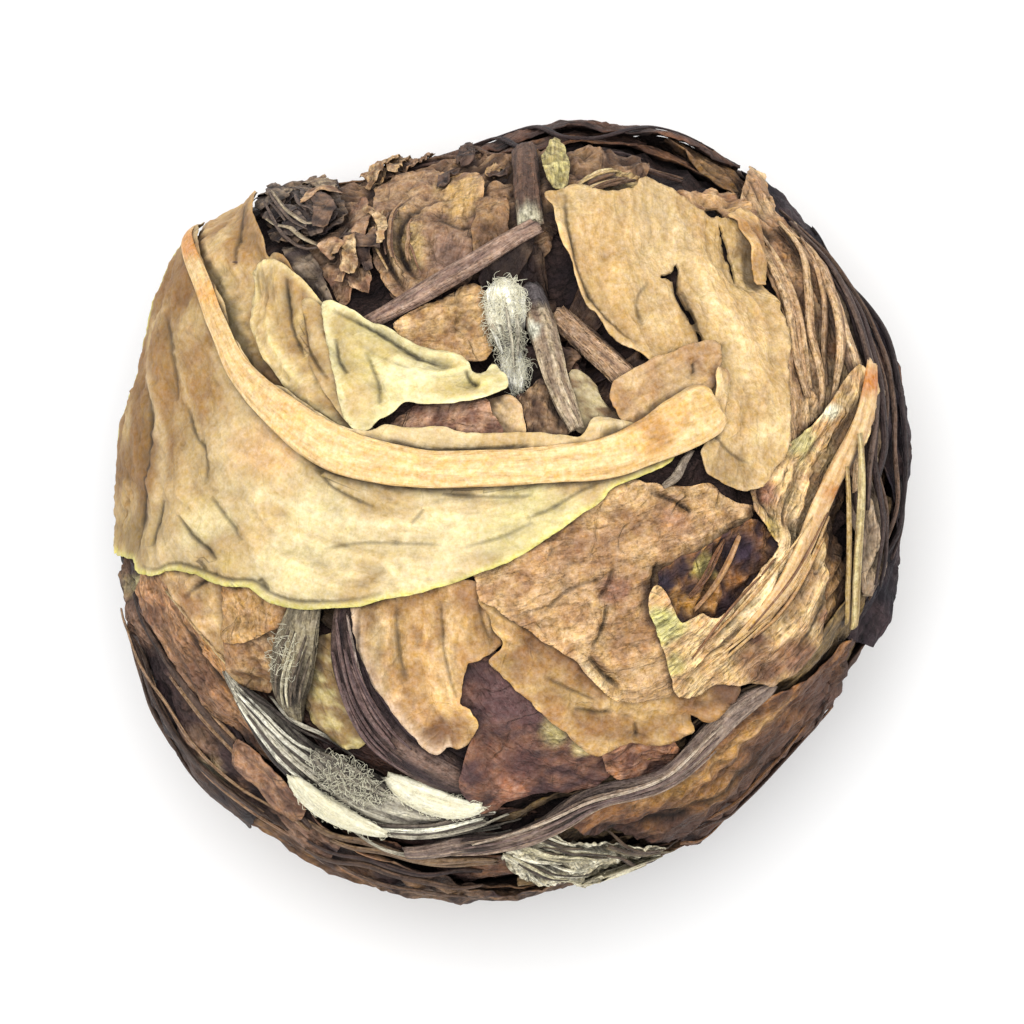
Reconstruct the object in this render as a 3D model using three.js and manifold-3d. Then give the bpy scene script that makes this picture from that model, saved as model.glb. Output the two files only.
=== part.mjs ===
// White tea pearl: whole white tea leaves, downy buds and stalks, twisted together in a cloth while
// damp and dried into a ball the size of a walnut. Everything is pressed tight, so the pearl is one
// solid: a core with the leaves, buds and stalks that show fused to it, each at its true size.
// It rests on a small pressed flat, with the knot of the twist up and a little towards +Y.
// Millimetres, +Z up, origin in the middle of the flat it rests on.

import * as THREE from "three";
import { mergeVertices } from "three/addons/utils/BufferGeometryUtils.js";
import Module from "manifold-3d";

// Driving dimensions
const PEARL = { width: 26.0, depth: 25.6, height: 23.6 };
// How far the pearl's outline, seen from above, lies outside that oval at every 20 degrees from +X to +Y
const BULGE = [0, 0.6, 0.5, 0.4, 0.2, -1.0, -0.6, 0.7, 0.35, -0.1, 0.45, 0.45, 0.4, 0.25, -0.45, -0.65, -0.9, -0.35];
const KNOT = { x: 0.9, y: 5.4, reach: 3.3, hollow: 2.3 }; // the open knot, seen from above
const CORE = { sink: 0.75, lump: 0.22, detail: 13 }; // how far the core lies inside the pearl's outline
const LEAF = { thick: 0.26, wave: 0.13 }; // a leaf's step above what it lies on, and its waviness
const STALK_RISE = 0.55;
const BUD_RISE = 0.75;
const ROOT_DEPTH = 0.6; // how deep each piece is sunk into the core
const PRESS = { from: -0.6, most: 1.3 }; // heights over the outline between which the cloth flattens
const REST = { half: 4.2, trim: 0.5 }; // the leaf pressed flat underneath, and how much is flattened

// Rows of leaves wrapped round the knot: angle from the knot in degrees, and how many go round
const WRAP_ROWS = [
  { down: 62, count: 4 },
  { down: 80, count: 5 },
  { down: 98, count: 6 },
  { down: 116, count: 5 },
  { down: 134, count: 4 },
  { down: 154, count: 3 },
];
const WRAP = { half: 2.5, slope: 7, overlap: 1.26, seed: 7 };

const MEAN_RADIUS = (PEARL.width + PEARL.depth + PEARL.height) / 6;
const SEMI_AXES = new THREE.Vector3(PEARL.width, PEARL.depth, PEARL.height).multiplyScalar(0.5);
const TEA_COLOUR = new THREE.Color(0.42, 0.3, 0.17);

// What shows from above, from the innermost piece to the outermost. Each rib of a piece is
// [x, y, reach to its left, reach to its right]: x and y as seen from above, from the pearl's middle,
// and past the outline as a distance down the side. Left and right are as its spine runs.
const PIECES = [
  { name: "north rim leaf", ribs: [[-5.6, 9.9, 0.6, 1.2], [-1.3, 12.3, 1.2, 1.6], [4.2, 12.6, 1.1, 1.5], [7.6, 11.0, 0.4, 0.6]] },
  { name: "wrinkled north leaf", ribs: [[-2.3, 10.9, 1.6, 1.6], [-2.6, 9.2, 1.9, 1.7], [-3.3, 7.0, 0.8, 0.9]] },
  { name: "north-west leaf", ribs: [[-5.0, 10.4, 0.8, 0.9], [-5.2, 8.7, 0.8, 0.8], [-5.7, 7.0, 0.3, 0.3]] },
  { name: "fuzzy nub", kind: "bud", ribs: [[-7.5, 10.3, 0.5, 0.5], [-6.7, 9.3, 1.1, 1.0], [-5.9, 8.2, 0.5, 0.4]] },
  { name: "short north leaf", ribs: [[-0.3, 10.6, 0.5, 0.5], [-0.7, 8.9, 0.7, 0.6], [-1.0, 7.3, 0.4, 0.4]] },
  { name: "east dark band", ribs: [[7.9, 10.9, 0.9, 1.0], [10.7, 7.7, 1.3, 1.0], [12.6, 3.4, 1.6, 1.0], [12.8, -0.6, 1.6, 0.9], [11.6, -4.6, 0.8, 0.6]] },
  { name: "east brown band", ribs: [[7.6, 10.8, 0.5, 0.5], [9.3, 8.0, 0.9, 0.8], [10.3, 5.0, 0.9, 0.8], [10.4, 2.4, 0.5, 0.5]] },
  { name: "south rim band", ribs: [[-7.6, -10.0, 0.6, 0.8], [-3.4, -12.1, 0.9, 1.6], [1.6, -12.5, 0.9, 1.6], [6.4, -10.6, 0.6, 1.0]] },
  { name: "west outer band", ribs: [[-12.7, -1.2, 0.6, 1.1], [-11.5, -4.8, 0.9, 1.3], [-9.2, -8.2, 0.9, 1.4], [-5.4, -11.0, 0.6, 0.9]] },
  { name: "south gold leaf", ribs: [[1.7, -10.6, 0.6, 0.9], [5.2, -9.3, 1.0, 1.7], [8.3, -7.3, 1.1, 1.8], [10.8, -4.6, 0.5, 0.7]] },
  { name: "south downy leaf", ribs: [[-0.1, -11.4, 0.6, 0.7], [1.6, -11.5, 0.9, 1.1], [3.4, -11.8, 0.5, 0.6]] },
  { name: "west brown band", ribs: [[-12.1, -1.6, 0.4, 0.5], [-10.6, -5.0, 0.6, 0.7], [-8.6, -7.5, 0.7, 0.7], [-6.8, -9.5, 0.3, 0.4]] },
  { name: "west gold patch", ribs: [[-11.3, -1.6, 0.5, 0.5], [-10.2, -3.3, 0.8, 0.7], [-9.2, -5.2, 0.4, 0.4]] },
  { name: "middle gold patch", ribs: [[-8.9, -1.6, 0.9, 0.7], [-8.1, -3.5, 1.2, 0.8], [-7.5, -5.7, 0.6, 0.5]] },
  { name: "green chip", ribs: [[-6.3, -4.6, 0.4, 0.4], [-5.8, -6.4, 0.7, 0.6], [-5.1, -7.9, 0.4, 0.3]] },
  { name: "grey bud", kind: "bud", ribs: [[-6.4, -2.7, 0.4, 0.4], [-6.9, -4.6, 0.75, 0.7], [-7.1, -6.9, 0.3, 0.3]] },
  { name: "dark stalk", kind: "stalk", ribs: [[-5.7, -2.6, 0.4, 0.4], [-5.2, -5.6, 0.55, 0.5], [-4.0, -7.8, 0.55, 0.5], [-1.8, -9.1, 0.5, 0.4]] },
  { name: "purple leaf", ribs: [[-1.5, -4.9, 0.5, 0.5], [0.0, -7.0, 1.1, 1.9], [2.2, -8.2, 1.1, 1.1], [5.2, -8.3, 0.3, 0.3]] },
  { name: "gold leaf", ribs: [[-2.8, -2.6, 2.1, 2.2], [-2.7, -4.8, 1.9, 2.1], [-2.1, -6.8, 1.0, 1.4], [-1.7, -8.2, 0.3, 0.4]] },
  { name: "silver bud", kind: "bud", ribs: [[-9.3, -5.2, 0.2, 0.2], [-7.7, -7.2, 0.65, 0.65], [-5.3, -9.3, 1.1, 1.1], [-3.2, -10.1, 0.95, 0.85], [-0.8, -10.2, 0.4, 0.4]] },
  { name: "silver bud's tail", kind: "stalk", ribs: [[-1.2, -10.7, 0.4, 0.4], [1.2, -9.95, 0.45, 0.45], [4.9, -8.5, 0.5, 0.45], [6.3, -7.4, 0.6, 0.6], [8.4, -5.6, 0.3, 0.3]] },
  { name: "lower brown leaf", ribs: [[-0.6, -3.1, 0.4, 0.5], [1.5, -5.0, 1.4, 1.2], [3.7, -6.3, 1.7, 1.5], [6.1, -6.7, 1.4, 1.0], [7.6, -6.2, 0.4, 0.3]] },
  { name: "upper brown leaf", ribs: [[-0.7, -2.2, 0.6, 0.8], [1.8, -1.6, 1.7, 2.9], [4.1, -1.1, 2.0, 4.2], [6.6, -0.2, 1.3, 2.6], [8.0, 0.3, 0.4, 0.6]] },
  { name: "east straw", kind: "stalk", ribs: [[10.8, 2.2, 0.3, 0.25], [11.2, -0.8, 0.45, 0.35], [11.2, -3.9, 0.25, 0.2]] },
  { name: "ribbed leaf", ribs: [[11.3, 4.4, 0.4, 0.5], [11.0, 2.2, 0.6, 1.9], [10.1, 0.0, 1.2, 2.7], [8.8, -2.4, 2.9, 2.3], [7.0, -4.4, 2.6, 1.7], [5.3, -5.8, 0.5, 0.4]] },
  { name: "ribbed leaf's stalk", kind: "stalk", ribs: [[11.3, 4.6, 0.25, 0.25], [10.9, 2.2, 0.42, 0.42], [9.95, -0.2, 0.4, 0.4], [8.4, -2.5, 0.34, 0.34], [6.6, -4.4, 0.2, 0.2]] },
  { name: "gold chip", ribs: [[-3.7, 5.6, 0.5, 0.6], [-2.2, 6.2, 0.7, 0.9], [-0.7, 6.6, 0.5, 0.6]] },
  { name: "slant stalk", kind: "stalk", ribs: [[1.6, 7.1, 0.42, 0.42], [2.9, 5.8, 0.47, 0.47], [4.3, 4.3, 0.47, 0.47]] },
  { name: "stub", ribs: [[1.5, 4.4, 0.4, 0.4], [2.8, 3.3, 0.55, 0.6], [4.1, 2.3, 0.35, 0.4]] },
  { name: "north stalk", kind: "stalk", ribs: [[0.4, 11.8, 0.4, 0.4], [0.5, 10.4, 0.42, 0.42], [0.6, 9.2, 0.42, 0.4]] },
  { name: "cross stalk", kind: "stalk", ribs: [[-4.7, 6.2, 0.3, 0.3], [-1.9, 7.5, 0.4, 0.38], [0.8, 8.9, 0.42, 0.38]] },
  { name: "grey stalk", kind: "stalk", ribs: [[0.7, 8.15, 0.42, 0.42], [1.1, 5.8, 0.46, 0.44], [1.5, 4.1, 0.38, 0.38], [2.1, 2.6, 0.3, 0.3]] },
  { name: "white bud", kind: "bud", ribs: [[-0.4, 7.7, 0.5, 0.5], [-0.2, 6.1, 0.75, 0.6], [0.0, 4.3, 0.35, 0.3]] },
  { name: "inner strip", ribs: [[-4.0, 2.7, 0.4, 0.7], [-0.7, 3.1, 0.5, 0.8], [3.9, 2.7, 0.4, 0.6]] },
  { name: "green tip", ribs: [[1.4, 12.2, 0.3, 0.3], [1.5, 10.6, 0.3, 0.3], [1.5, 9.8, 0.15, 0.15]] },
  { name: "fibrous tip", ribs: [[2.0, 10.6, 0.35, 0.35], [3.2, 11.2, 0.5, 0.45], [4.5, 11.5, 0.25, 0.25]] },
  { name: "tan leaf", ribs: [[5.6, 10.9, 1.7, 4.3], [6.2, 8.3, 2.3, 4.1], [7.3, 5.4, 1.9, 3.1], [7.8, 2.9, 1.5, 1.7], [7.4, 0.8, 0.6, 0.9]] },
  { name: "tan flap", ribs: [[3.2, 3.5, 0.4, 0.5], [4.6, 4.2, 0.8, 0.8], [6.1, 5.1, 0.8, 0.8], [6.9, 5.9, 0.3, 0.4]] },
  { name: "pale leaf's outer fold", ribs: [[-8.8, 9.7, 0.7, 0.7], [-8.2, 7.2, 1.1, 1.2], [-6.9, 5.0, 1.2, 1.2], [-4.8, 2.9, 0.5, 0.6]] },
  { name: "pale leaf's inner fold", ribs: [[-7.5, 8.1, 0.5, 0.5], [-6.8, 6.2, 0.8, 0.7], [-5.9, 4.5, 0.8, 0.6], [-4.5, 2.7, 0.4, 0.3]] },
  { name: "green leaf", ribs: [[-6.0, 6.0, 0.5, 0.7], [-4.7, 4.7, 1.35, 2.0], [-3.0, 4.1, 1.0, 1.2], [-0.4, 4.2, 0.5, 0.5]] },
  { name: "pale leaf", ribs: [[-10.3, 9.4, 0.3, 0.8], [-9.8, 7.2, 0.5, 4.0], [-8.9, 4.9, 0.7, 7.6], [-7.3, 3.0, 0.7, 8.2], [-4.7, 1.6, 0.6, 5.4], [-1.7, 1.0, 0.6, 3.9], [1.1, 1.4, 0.6, 2.6], [3.8, 2.1, 0.6, 1.5], [6.0, 3.3, 0.5, 0.6]] },
  { name: "pale leaf's stalk", kind: "stalk", ribs: [[-10.25, 9.1, 0.2, 0.2], [-9.7, 6.8, 0.3, 0.3], [-8.75, 4.45, 0.42, 0.42], [-7.05, 2.9, 0.6, 0.6], [-5.2, 1.85, 0.66, 0.66], [-2.0, 1.4, 0.52, 0.52], [1.0, 1.58, 0.5, 0.5], [4.0, 2.1, 0.7, 0.7], [6.5, 3.4, 0.8, 0.8]] },
];
const SEGMENT = { leaf: 1.5, stalk: 1.7, bud: 1.2, across: 1.7 }; // facet lengths along and across

const outline = new THREE.CatmullRomCurve3(BULGE.map((mm) => new THREE.Vector3(mm, 0, 0)), true, "catmullrom");

// How much wider than the oval the pearl is at a bearing, most at its girth and not at all at its poles.
function bulge(x, y, out) {
  const turn = Math.atan2(y, x) / (2 * Math.PI);
  return 1 + (outline.getPoint(turn - Math.floor(turn)).x / MEAN_RADIUS) * Math.min(out, 1) ** 3;
}

// Unit direction of a point seen from above, or past the outline at a distance down the side.
function skin(x, y) {
  const seen = Math.hypot(x / SEMI_AXES.x, y / SEMI_AXES.y);
  let out = seen;
  for (let pass = 0; pass < 5; pass += 1) out = seen / bulge(x, y, out);
  const east = (x / SEMI_AXES.x) * (seen > 0 ? out / seen : 0);
  const north = (y / SEMI_AXES.y) * (seen > 0 ? out / seen : 0);
  const down = out <= 1 ? Math.asin(out) : Math.PI / 2 + (out - 1);
  const share = out > 0 ? Math.sin(down) / out : 0;
  return new THREE.Vector3(east * share, north * share, Math.cos(down));
}

const knotAxis = skin(KNOT.x, KNOT.y);
const knotEast = new THREE.Vector3(0, 1, 0).cross(knotAxis).normalize();
const knotNorth = knotAxis.clone().cross(knotEast);

// Unit direction at an angle down from the knot and an angle round it, both in radians.
function roundKnot(around, down) {
  return knotAxis.clone().multiplyScalar(Math.cos(down))
    .addScaledVector(knotEast, Math.sin(down) * Math.cos(around))
    .addScaledVector(knotNorth, Math.sin(down) * Math.sin(around));
}

// Repeatable random numbers from 0 to 1.
function randomFrom(seed) {
  let state = seed;
  return () => {
    state = (Math.imul(state, 1664525) + 1013904223) >>> 0;
    return state / 2 ** 32;
  };
}

// Soft lumps of the pressed mass, from -1 to 1.
function lumps(direction, size) {
  const { x, y, z } = direction.clone().multiplyScalar(size);
  return (Math.sin(x + 1.7 * y) + Math.sin(1.3 * y - 1.9 * z + 2) + Math.sin(1.6 * z + 1.1 * x + 4)) / 3;
}

// Height of the core over the pearl's outline, in millimetres: below it, and deeper in the knot.
function coreHeight(direction) {
  const fromKnot = (direction.angleTo(knotAxis) * MEAN_RADIUS) / KNOT.reach;
  return CORE.lump * lumps(direction, 5) - CORE.sink - KNOT.hollow * Math.exp(-(fromKnot ** 4));
}

// The cloth presses what stands out: the higher a layer is stacked, the less of its rise is left.
function pressed(height) {
  const over = height - PRESS.from;
  return over > 0 ? PRESS.from + PRESS.most * (1 - Math.exp(-over / PRESS.most)) : height;
}

function pointAt(direction, height) {
  const point = direction.clone().multiply(SEMI_AXES).multiplyScalar(1 + pressed(height) / MEAN_RADIUS);
  const wider = bulge(point.x, point.y, Math.hypot(direction.x, direction.y));
  return point.multiply(new THREE.Vector3(wider, wider, 1));
}

// A piece's spine, side directions and reaches, cut into even steps.
function stepsAlong(directions, reaches, count) {
  const spine = new THREE.CatmullRomCurve3(directions, false, "centripetal");
  const widths = new THREE.CatmullRomCurve3(reaches.map(([left, right]) => new THREE.Vector3(left, right, 0)));
  return Array.from({ length: count + 1 }, (_, i) => {
    const t = spine.getUtoTmapping(i / count);
    const middle = spine.getPoint(t).normalize();
    const along = spine.getTangent(t);
    const side = middle.clone().cross(along).normalize();
    const width = widths.getPoint(t);
    return { middle, side, along: side.clone().cross(middle), left: width.x, right: width.y };
  });
}

// Unit direction at an offset from -1, the right edge, to 1, the left edge.
function acrossAt(step, offset) {
  const arc = (offset * (offset > 0 ? step.left : step.right)) / MEAN_RADIUS;
  return step.middle.clone().multiplyScalar(Math.cos(arc)).addScaledVector(step.side, Math.sin(arc));
}

const laid = []; // the pieces laid so far

// Height of whatever piece lies outermost at a direction.
function topAt(direction) {
  return laid.reduce((top, piece) => Math.max(top, piece.topAt(direction)), coreHeight(direction));
}

// How much of its rise a piece has at an offset across it: a leaf is flat, a stalk or bud is round.
function crossSection(kind, offset) {
  return kind === "leaf" ? 1 : Math.sqrt(1.12 - offset ** 2) - 0.15;
}

const RISE = { leaf: LEAF.thick, stalk: STALK_RISE, bud: BUD_RISE };

// Lays one piece on what is there and returns it as a closed solid, its underside sunk in the core.
function layPiece(directions, reaches, kind, cells) {
  const steps = stepsAlong(directions, reaches, cells.along);
  const offsets = Array.from({ length: cells.across + 1 }, (_, j) => (2 * j) / cells.across - 1);
  const beneath = steps.map((step) => offsets.map((offset) => topAt(acrossAt(step, offset))));
  const phase = laid.length * 1.9;
  const tops = beneath.map((row, i) => row.map((height, j) => {
    const before = beneath[Math.max(i - 1, 0)][j];
    const after = beneath[Math.min(i + 1, cells.along)][j];
    const bridged = Math.max(height, (before + height + after) / 3);
    const wave = kind === "leaf" ? LEAF.wave * Math.sin(2.1 * i + 1.3 * j + phase) : 0;
    return bridged + RISE[kind] * crossSection(kind, offsets[j]) + wave;
  }));
  const box = new THREE.BoxGeometry(1, 2, 1, cells.along, cells.across, 1);
  const corners = box.getAttribute("position");
  for (let k = 0; k < corners.count; k += 1) {
    const i = Math.round((corners.getX(k) + 0.5) * cells.along);
    const j = Math.round(((corners.getY(k) + 1) / 2) * cells.across);
    const direction = acrossAt(steps[i], offsets[j]);
    const height = corners.getZ(k) > 0 ? tops[i][j] : coreHeight(direction) - ROOT_DEPTH;
    corners.setXYZ(k, ...pointAt(direction, height));
  }
  laid.push({ topAt: (direction) => heightOver(direction, steps, tops, cells) });
  return solidFrom(box);
}

// Height of a laid piece over a direction, or -Infinity beside it.
function heightOver(direction, steps, tops, cells) {
  const nearness = steps.map((step) => step.middle.dot(direction));
  const i = nearness.indexOf(Math.max(...nearness));
  const step = steps[i];
  const arc = Math.asin(THREE.MathUtils.clamp(step.side.dot(direction), -1, 1)) * MEAN_RADIUS;
  const past = Math.abs(step.along.dot(direction)) * MEAN_RADIUS;
  const spacing = steps[0].middle.angleTo(steps[1].middle) * MEAN_RADIUS;
  const offset = arc / (arc > 0 ? step.left : step.right);
  if (nearness[i] <= 0 || Math.abs(offset) > 1 || past > spacing) return -Infinity;
  return tops[i][Math.round(((offset + 1) / 2) * cells.across)];
}

const wasm = await Module();
wasm.setup();

// A closed three.js geometry as a solid that can be joined and cut.
function solidFrom(geometry) {
  const bare = geometry.clone();
  bare.deleteAttribute("normal");
  bare.deleteAttribute("uv");
  const merged = mergeVertices(bare, 1e-4);
  return new wasm.Manifold(new wasm.Mesh({
    numProp: 3,
    vertProperties: new Float32Array(merged.getAttribute("position").array),
    triVerts: new Uint32Array(merged.index.array),
  }));
}

function coreSolid() {
  const ball = new THREE.IcosahedronGeometry(1, CORE.detail);
  const corners = ball.getAttribute("position");
  for (let k = 0; k < corners.count; k += 1) {
    const direction = new THREE.Vector3().fromBufferAttribute(corners, k).normalize();
    corners.setXYZ(k, ...pointAt(direction, coreHeight(direction)));
  }
  return solidFrom(ball);
}

function facets(length, size, least) {
  return Math.max(least, Math.round(length / size));
}

// The rows of leaves that wrap the ball round the knot, down to its far side.
function wrapSolids() {
  const random = randomFrom(WRAP.seed);
  return WRAP_ROWS.flatMap(({ down, count }) => {
    const turn = (2 * Math.PI * WRAP.overlap) / count;
    const start = random() * turn;
    return Array.from({ length: count }, (_, k) => {
      const from = start + (2 * Math.PI * (k + 0.3 * random())) / count;
      const tilt = THREE.MathUtils.degToRad(WRAP.slope * (2 * random() - 1));
      const polar = THREE.MathUtils.degToRad(down) + 0.1 * (random() - 0.5);
      const half = WRAP.half * (0.8 + 0.4 * random());
      const shares = [0, 1 / 3, 2 / 3, 1];
      const directions = shares.map((share) => roundKnot(from + turn * share, polar + tilt * (2 * share - 1)));
      const reaches = [0.35, 1, 0.95, 0.3].map((size) => [half * size, half * size]);
      const length = turn * Math.sin(polar) * MEAN_RADIUS;
      return layPiece(directions, reaches, "leaf", { along: facets(length, 2.6, 3), across: 2 });
    });
  });
}

// The leaf pressed flat under the pearl, which it rests on.
function restSolid() {
  const shares = [-1, -0.5, 0, 0.5, 1];
  const directions = shares.map((share) => {
    const tip = new THREE.Vector3(share * REST.half / MEAN_RADIUS, 0, -1);
    return tip.normalize();
  });
  const reaches = [0.45, 0.87, 1, 0.87, 0.45].map((size) => [REST.half * size, REST.half * size]);
  return layPiece(directions, reaches, "leaf", { along: 4, across: 4 });
}

function namedSolids() {
  return PIECES.map(({ ribs, kind = "leaf" }) => {
    const directions = ribs.map(([x, y]) => skin(x, y));
    const reaches = ribs.map(([, , left, right]) => [left, right]);
    const length = new THREE.CatmullRomCurve3(directions).getLength() * MEAN_RADIUS;
    const widest = Math.max(...reaches.map(([left, right]) => left + right));
    const across = kind === "leaf" ? facets(widest, SEGMENT.across, 2) : 4;
    return layPiece(directions, reaches, kind, { along: facets(length, SEGMENT[kind], 3), across });
  });
}

// Flattens the underside and brings the pearl to its measured size, standing on the origin.
function finished(solid) {
  const flat = -SEMI_AXES.z + REST.trim;
  const above = new THREE.BoxGeometry(60, 60, 60).translate(0, 0, flat + 30);
  const rested = solid.intersect(solidFrom(above)).simplify(0.01);
  const [outside] = rested.decompose().sort((a, b) => b.volume() - a.volume()); // pockets between leaves are filled
  const mesh = outside.getMesh();
  const geometry = new THREE.BufferGeometry();
  geometry.setAttribute("position", new THREE.BufferAttribute(mesh.vertProperties, 3));
  geometry.setIndex(new THREE.BufferAttribute(mesh.triVerts, 1));
  geometry.computeBoundingBox();
  const { min, max } = geometry.boundingBox;
  geometry.translate(-(min.x + max.x) / 2, -(min.y + max.y) / 2, -min.z);
  geometry.scale(PEARL.width / (max.x - min.x), PEARL.depth / (max.y - min.y), PEARL.height / (max.z - min.z));
  geometry.computeVertexNormals();
  return geometry;
}

const solids = [coreSolid(), ...wrapSolids(), restSolid(), ...namedSolids()];
const fused = solids.reduce((whole, piece) => whole.add(piece));
const pearl = new THREE.Mesh(
  finished(fused),
  new THREE.MeshStandardMaterial({ color: TEA_COLOUR, roughness: 0.85, metalness: 0, flatShading: true }),
);
pearl.name = "tea_pearl";

const group = new THREE.Group();
group.add(pearl);
export default group;
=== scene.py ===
import itertools
import math
import bmesh
import bpy
import numpy as np
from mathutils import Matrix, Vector


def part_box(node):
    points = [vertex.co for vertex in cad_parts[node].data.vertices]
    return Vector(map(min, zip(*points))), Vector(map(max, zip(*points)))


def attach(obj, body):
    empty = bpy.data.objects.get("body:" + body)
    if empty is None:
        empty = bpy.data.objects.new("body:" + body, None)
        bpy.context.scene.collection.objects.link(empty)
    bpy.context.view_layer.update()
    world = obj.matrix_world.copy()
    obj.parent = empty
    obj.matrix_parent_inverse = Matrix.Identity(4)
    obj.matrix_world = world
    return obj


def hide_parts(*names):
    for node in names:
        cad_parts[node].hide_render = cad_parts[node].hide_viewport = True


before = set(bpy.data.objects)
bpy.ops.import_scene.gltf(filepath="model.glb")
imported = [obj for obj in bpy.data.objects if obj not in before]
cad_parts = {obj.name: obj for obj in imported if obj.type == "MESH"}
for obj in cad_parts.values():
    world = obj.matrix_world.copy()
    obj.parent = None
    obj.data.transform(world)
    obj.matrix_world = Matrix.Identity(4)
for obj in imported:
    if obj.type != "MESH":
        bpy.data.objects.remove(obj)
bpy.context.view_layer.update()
lowCorner, highCorner = (np.array(corner) * 1000 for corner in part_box("tea_pearl"))
semiAxes = (highCorner - lowCorner) / 2  # everything is in millimetres until the meshes are made
meanRadius = semiAxes.mean()
print("tea pearl: frame loaded")

# The pressed ball. Seen from above means x and y from its middle, and past its outline down its side.
pearl = {
    "knot": (0.9, 5.4),  # the open middle of the twist, seen from above
    "knotReach": 3.3,
    "knotHollow": 2.3,
    "coreSink": 0.75,  # how far the core lies inside the outline
    "coreLump": 0.22,
    "restTrim": 0.5,  # how much the underside is flattened
    "pressFrom": 0.1,  # stacked layers rise less and less above this height
    "pressMost": 1.2,
    # near-black colour of the painted shade in creases and in hollows between the pieces
    "paintedShadeTone": (30, 20, 24),
    # how far the outline lies outside the oval at every 20 degrees from +X to +Y
    "bulge": (0, .6, .5, .4, .2, -1, -.6, .7, .35, -.1, .45, .45, .4, .25, -.45, -.65, -.9, -.35),
}


def unit(vectors):
    return vectors / np.linalg.norm(vectors, axis=-1, keepdims=True)


def mix(first, second, share):
    return first + (second - first) * np.clip(share, 0, 1)[..., None]


def smoothStep(values, low, high):
    part = np.clip((values - low) / (high - low), 0, 1)
    return part * part * (3 - 2 * part)


def tone(red, green, blue):  # linear colour from the values a paint mixer shows
    share = np.array([red, green, blue]) / 255
    return np.where(share <= 0.04045, share / 12.92, ((share + 0.055) / 1.055) ** 2.4)


def noise(points, seed):  # smooth noise from about -1 to 1, of points in two or three dimensions
    sides = points.shape[-1]
    slopes = unit(np.random.default_rng(seed).normal(size=(256, sides)))
    cell = np.floor(points).astype(np.int64)
    part = points - cell
    ease = part ** 3 * (part * (part * 6 - 15) + 10)
    total = np.zeros(points.shape[:-1])
    for corner in itertools.product((0, 1), repeat=sides):
        mixed = (cell + corner) * np.array([73856093, 19349663, 83492791])[:sides]
        key = np.bitwise_xor.reduce(mixed, axis=-1)
        key = (key ^ (key >> 9)) & 255
        weight = np.where(corner, ease, 1 - ease).prod(axis=-1)
        total += weight * (slopes[key] * (part - corner)).sum(axis=-1)
    return total * 1.6


def layeredNoise(points, seed, layers=3):
    return sum(noise(points * 2 ** k, seed + k) * 0.55 ** k for k in range(layers))


def ridgedNoise(points, seed, layers=2):  # sharp crests, from about -1 to 1
    return sum((1 - 4 * np.abs(noise(points * 2.1 ** k, seed + k))) * 0.5 ** k for k in range(layers)) / 1.5


def foldedNoise(points, seed, layers=3):  # flat facets between sharp crests and sharp valleys
    total = 0
    for k in range(layers):
        near = points * 2.1 ** k
        total = total + (np.abs(noise(near, seed + k)) - np.abs(noise(near + 31.7, seed + k + 50))) * 0.5 ** k
    return total * 1.6


def bulge(x, y, out):  # how much wider than the oval the pearl is, most at its girth
    values = np.array(pearl["bulge"])
    turn = np.mod(np.arctan2(y, x) / (2 * math.pi), 1) * len(values)
    start = turn.astype(int)
    t = turn - start
    a, b, c, d = (values[(start + by) % len(values)] for by in (-1, 0, 1, 2))
    bend = (2 * a - 5 * b + 4 * c - d) * t ** 2 + (3 * b - a - 3 * c + d) * t ** 3
    return 1 + (2 * b + (c - a) * t + bend) / 2 / meanRadius * np.minimum(out, 1) ** 3


def skin(x, y):  # unit direction of a point seen from above
    east, north = x / semiAxes[0], y / semiAxes[1]
    seen = np.hypot(east, north)
    out = seen
    for _ in range(5):
        out = seen / bulge(x, y, out)
    down = np.where(out <= 1, np.arcsin(np.minimum(out, 1)), math.pi / 2 + out - 1)
    share = np.sin(down) / np.maximum(seen, 1e-9)
    return np.stack([east * share, north * share, np.cos(down)], -1)


def seenFromAbove(direction):
    down = np.arccos(np.clip(direction[..., 2], -1, 1))
    out = np.where(down < math.pi / 2, np.sin(down), 1 + down - math.pi / 2)
    seen = direction[..., :2] * (out / np.maximum(np.sin(down), 1e-9))[..., None] * semiAxes[:2]
    return seen * bulge(seen[..., 0], seen[..., 1], out)[..., None]


knotAxis = skin(*np.array(pearl["knot"]))
knotEast = unit(np.cross([0, 1, 0], knotAxis))
knotNorth = np.cross(knotAxis, knotEast)


def roundKnot(around, down):  # unit direction at an angle round the knot and an angle down from it
    flat = np.cos(around)[..., None] * knotEast + np.sin(around)[..., None] * knotNorth
    return np.cos(down)[..., None] * knotAxis + np.sin(down)[..., None] * flat


def repeatable(seed):  # the same draws as the part's source
    state = [seed]

    def draw():
        state[0] = (state[0] * 1664525 + 1013904223) & 0xFFFFFFFF
        return state[0] / 2 ** 32

    return draw


# The height of what has been laid so far over the outline, on the six faces of a cube round the pearl
surfaceMap = {"cells": 190, "fine": 0.05}
lastCell = surfaceMap["cells"] - 1
surface = np.zeros((6, lastCell + 1, lastCell + 1))


def cubeCell(direction):
    size = np.abs(direction)
    axis = size.argmax(-1)
    major = np.take_along_axis(direction, axis[..., None], -1)[..., 0]
    places = []
    for turn in (1, 2):
        minor = np.take_along_axis(direction, ((axis + turn) % 3)[..., None], -1)[..., 0]
        places.append((np.arctan(minor / np.abs(major)) * 2 / math.pi + 0.5) * lastCell)
    return axis * 2 + (major < 0), places[0], places[1]


def heightAt(direction):
    face, row, column = cubeCell(direction)
    i = np.clip(row.astype(int), 0, lastCell - 1)
    j = np.clip(column.astype(int), 0, lastCell - 1)
    down, right = row - i, column - j
    near = surface[face, i, j] * (1 - right) + surface[face, i, j + 1] * right
    far = surface[face, i + 1, j] * (1 - right) + surface[face, i + 1, j + 1] * right
    return near * (1 - down) + far * down


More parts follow.
